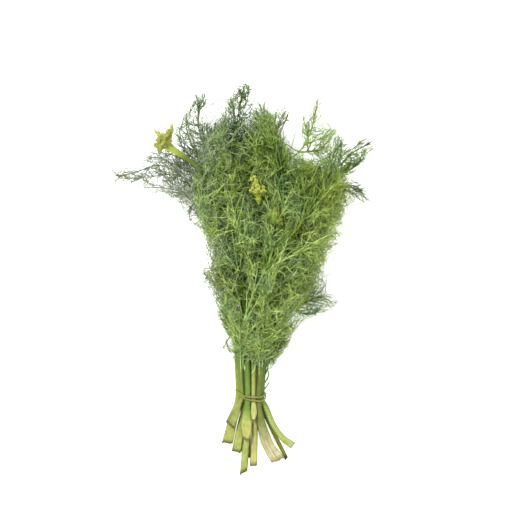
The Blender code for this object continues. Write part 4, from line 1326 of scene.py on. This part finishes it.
    def open_fronds(self, way: Way) -> list[tuple[np.ndarray, tuple]]:
        """The fronds that may stand out of the bunch's edge.

        Args:
            way: The stem's way.

        Returns:
            The points along each frond, with its spread.
        """
        found = []
        if self.sizes.free:
            runs = np.linspace(max(way.length - self.sizes.terminal * MM, 0.0), way.length, 26)
            found.append((way.at(runs), self.sizes.spread))
        for spray in self.sizes.sprays:
            spine = self.spray_way(way, spray)
            found.append((spine.at(np.linspace(8 * MM, spine.length, 16)), spray.spread))
        return found

    def kept(self, shoots: Shoots, way: Way, rng: np.random.Generator) -> Shoots:
        """Leaves out the branches that would leave the bunch's outline or cover a bright piece.

        Args:
            shoots: The branches.
            way: The stem's way.
            rng: Where the raggedness of the edge is drawn from.

        Returns:
            The branches that stay.
        """
        tip, middle = shoots.at(1.0), shoots.at(0.5)
        inside = self.edge.holds(tip, self.edge.tufts(tip) * self.ragged + rng.normal(-0.6, 1.6, len(shoots)))
        # A branch may end a little outside its own frond
        for spine, spread in self.open_fronds(way):
            gap = np.linalg.norm(tip[:, None] - spine[None], axis=2)
            reach = (np.linspace(*spread, len(spine)) * 1.15 + 1.5) * MM
            inside |= np.any(gap < reach * rng.uniform(0.8, 1.1, (len(shoots), 1)), axis=1)
        low, high = np.array(self.low) * MM, np.array(self.high) * MM
        inside &= np.all((tip > low) & (tip < high) & (middle < high), axis=1)
        # The tips of the bunch are airy
        inside &= rng.random(len(shoots)) < np.interp(tip[:, 1] / MM, [205, 242], [1.0, self.airiness])
        for clearing in self.clearings:
            hidden = clearing.covers(tip) | clearing.covers(middle)
            inside &= ~(hidden & (rng.random(len(shoots)) < self.clear_share))
        return shoots.chosen(inside)

    def lit(self, lines: Lines) -> Lines:
        """The same lines, with painted light and shade added to their tones: lighter towards the top of the
        bunch, darker deep in it, and duller by age towards its tips.
        """
        lines.tone = np.clip(lines.tone + self.edge.light(lines.centre), 0.0, 1.0)
        return lines

    def build(self, way: Way) -> bpy.types.Object:
        """Makes the leafy top and dresses it.

        Args:
            way: The stem's way.

        Returns:
            The leafy top's object.
        """
        stem = self.sizes
        rng = np.random.default_rng([SEED, 7, len(stem.way), int(stem.neck), int(1000 * stem.first_turn)])
        start = way.run_at_height(stem.neck * MM) + 0.3 * MM
        end = way.length - stem.terminal * MM
        builder = MeshBuilder()
        runs = np.linspace(start, way.length, 60)
        half = np.interp(runs, [start, start + 22 * MM, end, way.length], self.axis_half) * MM
        tone = np.interp(runs, [start, end, way.length], [0.82, 0.66, 0.05])
        builder.add_lines(self.lit(Lines(way.at(runs)[None], half[None], tone[None])), 10, rng)
        leaves, low_leaves = self.leaves(way, start, end, rng)
        open_pinnae = [self.pinnae_along(way, end - 8 * MM, stem.spread, stem.spacing, rng)]
        for spray in stem.sprays:
            spine = self.spray_way(way, spray)
            points = spine.at(np.linspace(0, spine.length, 24))
            half = np.linspace(*self.rachis_half, 24) * MM
            builder.add_lines(Lines(points[None], half[None], np.full((1, 24), 0.4)), 6, rng)
            open_pinnae.append(self.pinnae_along(spine, 8 * MM, spray.spread, spray.spacing, rng))
        for ribs, fresher, thick in ((leaves, 0.22, 0.42), (low_leaves, 0.36, 0.52)):
            ribs.tone += fresher
            builder.add_lines(self.lit(ribs.lines(14, thick, 0.26)), 5, rng)
        count = 0
        closed = gathered([self.pinnae.grow(leaves, rng), self.low_pinnae.grow(low_leaves, rng)])
        for sides, segments, threads, width, out in (
            (closed, self.segments, self.threads, 1.0, False),
            (gathered(open_pinnae), self.open_segments, self.open_threads, self.open_width, True),
        ):
            sides = self.kept(sides, way, rng)
            splits = self.kept(segments.grow(sides, rng), way, rng)
            # The last threads grow only where light reaches, which is also where they show
            bearing = splits.chosen(self.edge.reached(splits.at(0.5)) | out)
            ends = self.kept(threads.grow(bearing, rng), way, rng)
            for grown, rings, halves in (
                (sides, 6, self.side_half), (splits, 4, self.split_half),
                (ends, 4 if out else 3, self.thread_half),
            ):
                thick, thin = (half_width * width for half_width in halves)
                builder.add_lines(self.lit(grown.lines(rings, thick, thin, 0.05)), 3, rng)
            count += len(splits) + len(ends)
        leaf_material = LEAF_THREADS[stem.leaf].material(f"dill_leaf_{stem.name}")
        made = builder.make(f"foliage_{stem.name}", leaf_material)
        log.info("foliage_%s: %d threads, %d triangles", stem.name, count, len(made.data.polygons))
        return made


# The umbel and the lime pieces


@dataclass
class Umbel:
    """The yellow umbel: a flared hub, rays, and a head of tiny florets on each ray."""

    hub: tuple = ((6.7, 165.1, 53.3), (6.6, 167.6, 54.4), (6.2, 170.6, 55.6))
    hub_half: tuple = (0.9, 1.9, 3.0)
    # Each head's place and its radius
    heads: tuple = (
        (-1.0, 178.6, 56.5, 1.7), (1.0, 181.2, 58.0, 2.0), (2.6, 184.6, 59.5, 2.2), (0.0, 188.4, 57.5, 1.9),
        (4.2, 187.6, 58.5, 2.1), (5.4, 183.2, 60.5, 2.2), (3.2, 178.4, 60.0, 2.2), (6.4, 179.6, 61.5, 2.1),
        (9.6, 178.0, 60.0, 1.9), (12.6, 178.4, 57.5, 1.9), (11.0, 181.4, 58.0, 1.6), (2.8, 190.4, 57.0, 1.5),
    )
    florets: int = 60
    ray_half: tuple = (0.42, 0.3)
    floret_half: tuple = (0.14, 0.16, 0.34, 0.42, 0.0)

    def build(self) -> bpy.types.Object:
        """Makes the umbel and dresses it.

        Returns:
            The umbel's object.
        """
        rng = np.random.default_rng([SEED, 3])
        builder = MeshBuilder()
        hub = Way(np.array(self.hub) * MM)
        runs = np.linspace(0, hub.length, 14)
        half = np.interp(runs, np.linspace(0, hub.length, 3), self.hub_half) * MM
        centre = np.vstack([hub.at(runs), hub.at(hub.length) + hub.along(hub.length) * 0.6 * MM])
        builder.add_lines(Lines(centre[None], np.append(half, 0)[None], np.full((1, 15), 0.25)), 14, rng)
        root = hub.at(hub.length * 0.8)
        for x, y, z, size in self.heads:
            head = np.array([x, y, z]) * MM
            back = unit(root - head)
            core = head + back * size * 1.2 * MM
            reach = core - root
            ray = lone_shoot(root, unit(reach), np.linalg.norm(reach), 0.45)
            builder.add_lines(ray.lines(8, *self.ray_half, 0.1), 6, rng)
            count = self.florets
            heading = unit(rng.normal(size=(count, 3)) - back * 0.55)
            length = size * MM * rng.uniform(0.6, 1.35, count)
            tone = np.clip(rng.normal(0.72, 0.2, count), 0.3, 1.0)
            cores = np.repeat(core[None], count, 0)
            stalklets = Shoots(cores, heading, heading, length, np.zeros((count, 3)), tone)
            line = stalklets.lines(5, 0.16, 0.1, 0.1)
            line.half = np.tile(np.array(self.floret_half) * MM, (count, 1))
            builder.add_lines(line, 5, rng)
        return builder.make("umbel_heads", UmbelFloret().material("dill_umbel"))


@dataclass
class LimePiece:
    """A young lime leaf: a clasping sheath or a folded blade, with lobes of tiny leaflets on it."""

    name: str
    way: tuple
    half: tuple
    lobes: tuple
    root_at: float
    clasping: bool
    finish: LimeTissue = LimeTissue()
    points_round: int = 30
    rings_along: int = 40
    leaflets: int = 46
    rib_half: float = 1.0
    leaflet_half: float = 0.36

    def section(self, half: float) -> np.ndarray:
        """The section at this half width.

        Args:
            half: Half the width, in millimetres.

        Returns:
            Points across and up, shape (n, 2), in millimetres.
        """
        turn = 2 * math.pi * np.arange(self.points_round) / self.points_round
        if not self.clasping:
            rib = 1 + 0.05 * np.cos(9 * turn)
            return np.stack([np.cos(turn), np.sin(turn)], axis=1) * half * rib[:, None]
        share = np.cos(turn)
        thick, gutter = 0.9 + 0.12 * half, 0.28 * half
        rib = 1 + 0.04 * np.cos(16 * turn)
        return np.stack([share * half, gutter * (share**2 - 0.5) + np.sin(turn) * thick * rib], axis=1)

    def build(self) -> bpy.types.Object:
        """Makes the piece and dresses it.

        Returns:
            The piece's object.
        """
        rng = np.random.default_rng([SEED, 5, len(self.lobes)])
        way = Way(np.array(self.way) * MM)
        count, around = self.rings_along, self.points_round
        runs = np.linspace(0, way.length, count)
        knots = [way.run_at_point(k) for k in range(len(self.half))]
        half = np.interp(runs, knots, self.half)
        rings, k = [], np.arange(around)
        for run, wide in zip(runs, half):
            ahead = way.along(run, 2 * MM)
            across = unit(np.cross(ahead, UPWARD))
            up = np.cross(across, ahead)
            section = self.section(wide * 0.97)
            near_tip = max(0.0, (run / way.length - 0.8) / 0.2)
            ragged = near_tip * 0.9 * np.cos(5 * 2 * math.pi * k / around)
            shape = across * section[:, :1] + up * section[:, 1:] + ahead * ragged[:, None]
            rings.append(way.at(run) + shape * MM)
        rings, size = np.array(rings), count * around
        sunk = rings[-1].mean(axis=0) - way.along(way.length) * MM
        verts = np.concatenate([rings.reshape(-1, 3), rings[0].mean(axis=0)[None], sunk[None]])
        ends = [fan_faces(0, around, size, inward=True), fan_faces(size - around, around, size + 1)]
        place = np.abs(np.arange(around) / around - 0.5) * 2
        skin = np.zeros((count, around, 3))
        skin[..., 0] = place * 2 * math.pi * half[:, None] * MM
        skin[..., 1] = runs[:, None]
        skin = np.concatenate([skin.reshape(-1, 3), np.zeros((2, 3))])
        grade = np.concatenate([np.repeat(np.linspace(0, 0.8, count), around), [0.0, 0.9]])
        builder = MeshBuilder()
        builder.add(verts, np.concatenate([*ring_faces(count, around), *ends]), tone=grade, skin=skin)
        root = way.at(way.length * self.root_at)
        side = unit(np.cross(way.along(way.length * self.root_at, 2 * MM), UPWARD))
        rim = 0.72 * self.half[-1] * MM if self.clasping else 0.0
        for x, y, z, wide in self.lobes:
            tip = np.array([x, y, z]) * MM
            across = float(np.clip((tip - root) @ side, -rim, rim))
            self.add_lobe(builder, root + side * across, tip, wide * MM, rng)
        # The leaflets' tone is their grade from root to tip
        builder.values["grade"] = builder.values.pop("tone")
        skins = builder.values.pop("skin")
        missing = builder.count - sum(len(s) for s in skins)
        builder.values["skin"] = [*skins, np.zeros((missing, 3))]
        return builder.make(self.name, self.finish.material(self.name + "_tissue"))

    def add_lobe(
        self, builder: MeshBuilder, root: np.ndarray, tip: np.ndarray, wide: float, rng: np.random.Generator
    ) -> None:
        """Adds a lobe: a rib that is thick with short leaflets, still crowded together.

        Args:
            builder: What it is added to.
            root: Where the lobe starts, in metres.
            tip: Where it ends.
            wide: Half its width, in metres.
            rng: Where the strays are drawn from.
        """
        reach = tip - root
        span = float(np.linalg.norm(reach))
        ahead = reach / span
        rib = lone_shoot(root, ahead, span, 0.7)
        line = rib.lines(12, self.rib_half, self.rib_half, 0.2)
        line.half *= np.sin(np.linspace(0.9, 2.75, 12))[None] * rng.uniform(0.8, 1.2, (1, 12))
        builder.add_lines(line, 8, rng)
        count = self.leaflets
        share = rng.uniform(0.2, 1.0, count)
        stray = rng.normal(size=(count, 3))
        out = unit(stray - ahead * (stray @ ahead)[:, None])
        lean = np.radians(rng.uniform(25, 70, count))[:, None]
        heading = unit(ahead * np.cos(lean) + out * np.sin(lean))
        length = wide * 1.2 * np.sin(np.pi * np.clip(share * 0.95, 0.2, 0.86)) * rng.uniform(0.6, 1.35, count)
        tone = np.clip(0.72 + 0.35 * (share - 0.5) + rng.normal(0, 0.14, count), 0.3, 1)
        start, sag = root + ahead * (share * span * 0.92)[:, None], ahead * length[:, None] * 0.3
        leaflets = Shoots(start, heading, heading, length, sag, tone)
        builder.add_lines(leaflets.lines(4, self.leaflet_half, self.leaflet_half * 0.7, 0.05), 3, rng)


BUD = LimePiece(
    "bud_leaf",
    ((-42.0, 193.0, 46.0), (-49, 200.5, 47.8), (-57.5, 206.8, 49.4), (-66, 212.0, 50.4), (-73.0, 218.0, 51.0)),
    (1.6, 2.0, 2.3, 3.2, 4.6),
    (
        (-82.4, 229.0, 52.0, 2.6), (-78.5, 225.0, 54.0, 3.0), (-66.4, 234.2, 53.0, 2.6),
        (-70.0, 229.0, 55.0, 3.0), (-78.6, 211.6, 50.0, 2.8), (-81.8, 216.5, 51.5, 3.0),
        (-79.5, 221.5, 54.0, 3.2), (-76.0, 214.0, 54.0, 3.0), (-71.5, 223.0, 56.0, 3.2),
        (-75.0, 226.0, 54.5, 2.4), (-73.5, 216.5, 56.0, 3.0), (-68.5, 218.5, 55.0, 2.6),
    ),
    0.94, True, leaflets=150, rib_half=1.5, leaflet_half=0.34,
)

YOUNG = LimePiece(
    "young_leaf_tuft", ((18.8, 149.0, 58.8), (19.2, 152.5, 59.6), (20.2, 156.5, 60.4), (21.0, 159.0, 60.8)),
    (0.9, 2.3, 3.1, 1.9),
    (
        (15.6, 157.0, 60.0, 2.6), (16.2, 161.0, 60.5, 2.4), (20.0, 161.5, 60.5, 2.6), (23.5, 158.0, 60.5, 2.6),
        (25.8, 152.5, 60.5, 2.6), (27.0, 148.0, 59.5, 2.2), (20.6, 156.5, 63.5, 3.0), (23.0, 150.5, 61.5, 2.6),
    ),
    0.5, False, LimeTissue("#708a32", "#88a23a", "#a6b84e"), leaflets=90, rib_half=0.5, leaflet_half=0.28,
)


# The rubber band


@dataclass
class RubberBand:
    """The band, wound twice round the stalks: one loop of two turns that cross at the side."""

    wide: float = 1.25
    thick: float = 0.95
    inner_x: float = 11.95
    inner_z: float = 6.75
    centre_z: float = 7.9
    squareness: float = 3.3
    spread: float = 1.5
    lift: float = 0.5
    dip: float = 4.6
    tilt: float = 1.2
    rise: float = 2.3
    steps: int = 240
    corners: int = 14
    softness: float = 0.55

    def middle(self, turn: float) -> np.ndarray:
        """The middle of the band at this angle, of two full turns.

        Args:
            turn: The angle, in radians.

        Returns:
            The point, in millimetres.
        """
        outward = self.thick / 2 + 0.15 + self.lift
        strand = math.sin(turn / 2) * self.lift
        cos, sin = math.cos(turn), math.sin(turn)
        power = 2 / self.squareness
        x = math.copysign(abs(cos) ** power, cos) * (self.inner_x + outward + strand)
        z = math.copysign(abs(sin) ** power, sin) * (self.inner_z + outward + strand)
        y = self.spread * math.cos(turn / 2) - self.dip * max(sin, 0.0) ** 2 - self.tilt * cos * max(sin, 0.0)
        y += self.rise * (1 - cos) + 0.5 * math.sin(1.5 * turn)
        return np.array([x, y, max(self.centre_z + z, self.thick / 2)])

    def build(self) -> bpy.types.Object:
        """Makes the band and dresses it.

        Returns:
            The band's object.
        """
        turns = 4 * math.pi * (np.arange(self.steps) + 0.5) / self.steps
        middles = np.array([self.middle(t) for t in turns])
        ahead = unit(np.roll(middles, -1, axis=0) - np.roll(middles, 1, axis=0))
        outward = unit(np.cross([0.0, 1.0, 0.0], ahead))
        along = unit(np.cross(ahead, outward))
        corner = 2 * math.pi * np.arange(self.corners) / self.corners
        # A moulded strip has soft corners, and it rolls a little where it is stretched
        shape = np.stack([
            np.sign(wave) * np.abs(wave) ** self.softness * size / 2
            for wave, size in ((np.cos(corner), self.thick), (np.sin(corner), self.wide))
        ], axis=1)
        roll = 0.35 * np.sin(2.5 * turns) * np.clip((middles[:, 2] - 4) / 8, 0, 1)
        out = outward * np.cos(roll)[:, None] + along * np.sin(roll)[:, None]
        side = along * np.cos(roll)[:, None] - outward * np.sin(roll)[:, None]
        rings = middles[:, None] + out[:, None] * shape[None, :, :1] + side[:, None] * shape[None, :, 1:]
        rings[..., 2] = np.maximum(rings[..., 2], 0.02)
        builder = MeshBuilder()
        builder.add(rings.reshape(-1, 3) * MM, np.concatenate(ring_faces(*rings.shape[:2], closed=True)))
        return builder.make("rubber_band_strip", NaturalRubber().material("natural_rubber"))


# The studio


@dataclass
class Studio:
    """A white table, soft lights and a camera that looks straight down."""

    lens: float = 100.0
    sensor: float = 36.0
    view_width: float = 441.0
    centre: tuple = (3.5, 122.8)
    focus_height: float = 25.0
    table_half: float = 3.0
    table_glow: float = 0.64
    sky: float = 0.72
    aim: tuple = (0.0, 0.12, 0.0)
    lights: tuple = (
        ("key", (-0.7, 0.9, 1.3), 0.32, 26.0),
        ("fill", (0.9, -0.5, 1.2), 1.2, 6.0),
    )

    def table(self) -> None:
        """Makes the white table."""
        mesh = bpy.data.meshes.new("table")
        far = self.table_half
        mesh.from_pydata([(-far, -far, 0), (far, -far, 0), (far, far, 0), (-far, far, 0)], [], [(0, 1, 2, 3)])
        made, _, shader = blank_material("white_card")
        # Lit from below like a copying table, so that it stays white beside the bunch
        wire(shader, {
            "Base Color": linear("#f7f7f5"), "Roughness": 0.9, "Emission Color": WHITE,
            "Emission Strength": self.table_glow,
        })
        mesh.materials.append(made)
        table = bpy.data.objects.new("table", mesh)
        bpy.context.scene.collection.objects.link(table)

    def light(self, name: str, place: tuple, size: float, power: float) -> None:
        """Adds a soft square light.

        Args:
            name: Its name.
            place: Where it is, in metres.
            size: Its side, in metres.
            power: Its power, in watts.
        """
        data = bpy.data.lights.new(name, "AREA")
        data.energy, data.size = power, size
        made = bpy.data.objects.new(name, data)
        made.location = place
        way = np.array(self.aim) - np.array(place)
        lean = math.acos(-way[2] / np.linalg.norm(way))
        made.rotation_euler = (lean, 0.0, math.atan2(way[0], -way[1]) + math.pi)
        bpy.context.scene.collection.objects.link(made)

    def build(self) -> None:
        """Sets the table, the lights, the sky and the camera."""
        self.table()
        scene = bpy.context.scene
        for light in self.lights:
            self.light(*light)
        world = bpy.data.worlds.new("studio")
        world.use_nodes = True
        wire(world.node_tree.nodes["Background"], {"Color": WHITE, "Strength": self.sky})
        scene.world = world
        scene.view_settings.view_transform = "Standard"
        camera = bpy.data.cameras.new("camera")
        camera.lens, camera.sensor_width = self.lens, self.sensor
        rise = self.view_width * MM * self.lens / self.sensor
        made = bpy.data.objects.new("camera", camera)
        made.location = (self.centre[0] * MM, self.centre[1] * MM, rise + self.focus_height * MM)
        scene.collection.objects.link(made)
        scene.camera = made


def put(piece: bpy.types.Object, node: str) -> None:
    """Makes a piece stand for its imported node.

    Args:
        piece: The visible piece.
        node: The node that it replaces.
    """
    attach(piece, "root")
    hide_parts(node)
    log.info("%s stands for %s: %d triangles", piece.name, node, len(piece.data.polygons))


def main() -> None:
    """Loads the frame, builds every piece in order, and lights the scene."""
    logging.basicConfig(level=logging.INFO, format="%(message)s")
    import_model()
    clearings = [
        column(((6.6, 166, 54), (6.0, 180, 56), (4.5, 187, 56)), 8.0),
        column(((21, 151, 57), (21, 159, 57)), 3.6),
        column(((-44, 197, 44), (-74, 221, 46)), 5.0),
    ]
    for sizes in STEMS[:4]:
        route = sizes.route()
        runs = np.arange(route.run_at_height(sizes.neck * MM), route.length, 1.5 * MM)
        clearings.append(Clearing(route.at(runs), 2.0))
    clearings.append(column(STEMS[0].sprays[1].points, 1.6))
    edge = LeafEdge()
    for sizes in STEMS:
        way = sizes.route()
        put(Stalk(sizes).build(way), f"stalk_{sizes.name}")
        put(LeafyTop(sizes, edge, clearings).build(way), f"leafy_top_{sizes.name}")
    put(Umbel().build(), "umbel")
    put(BUD.build(), "bud_sheath")
    put(YOUNG.build(), "young_leaf")
    put(RubberBand().build(), "rubber_band")
    Studio().build()


if __name__ == "__main__":
    main()
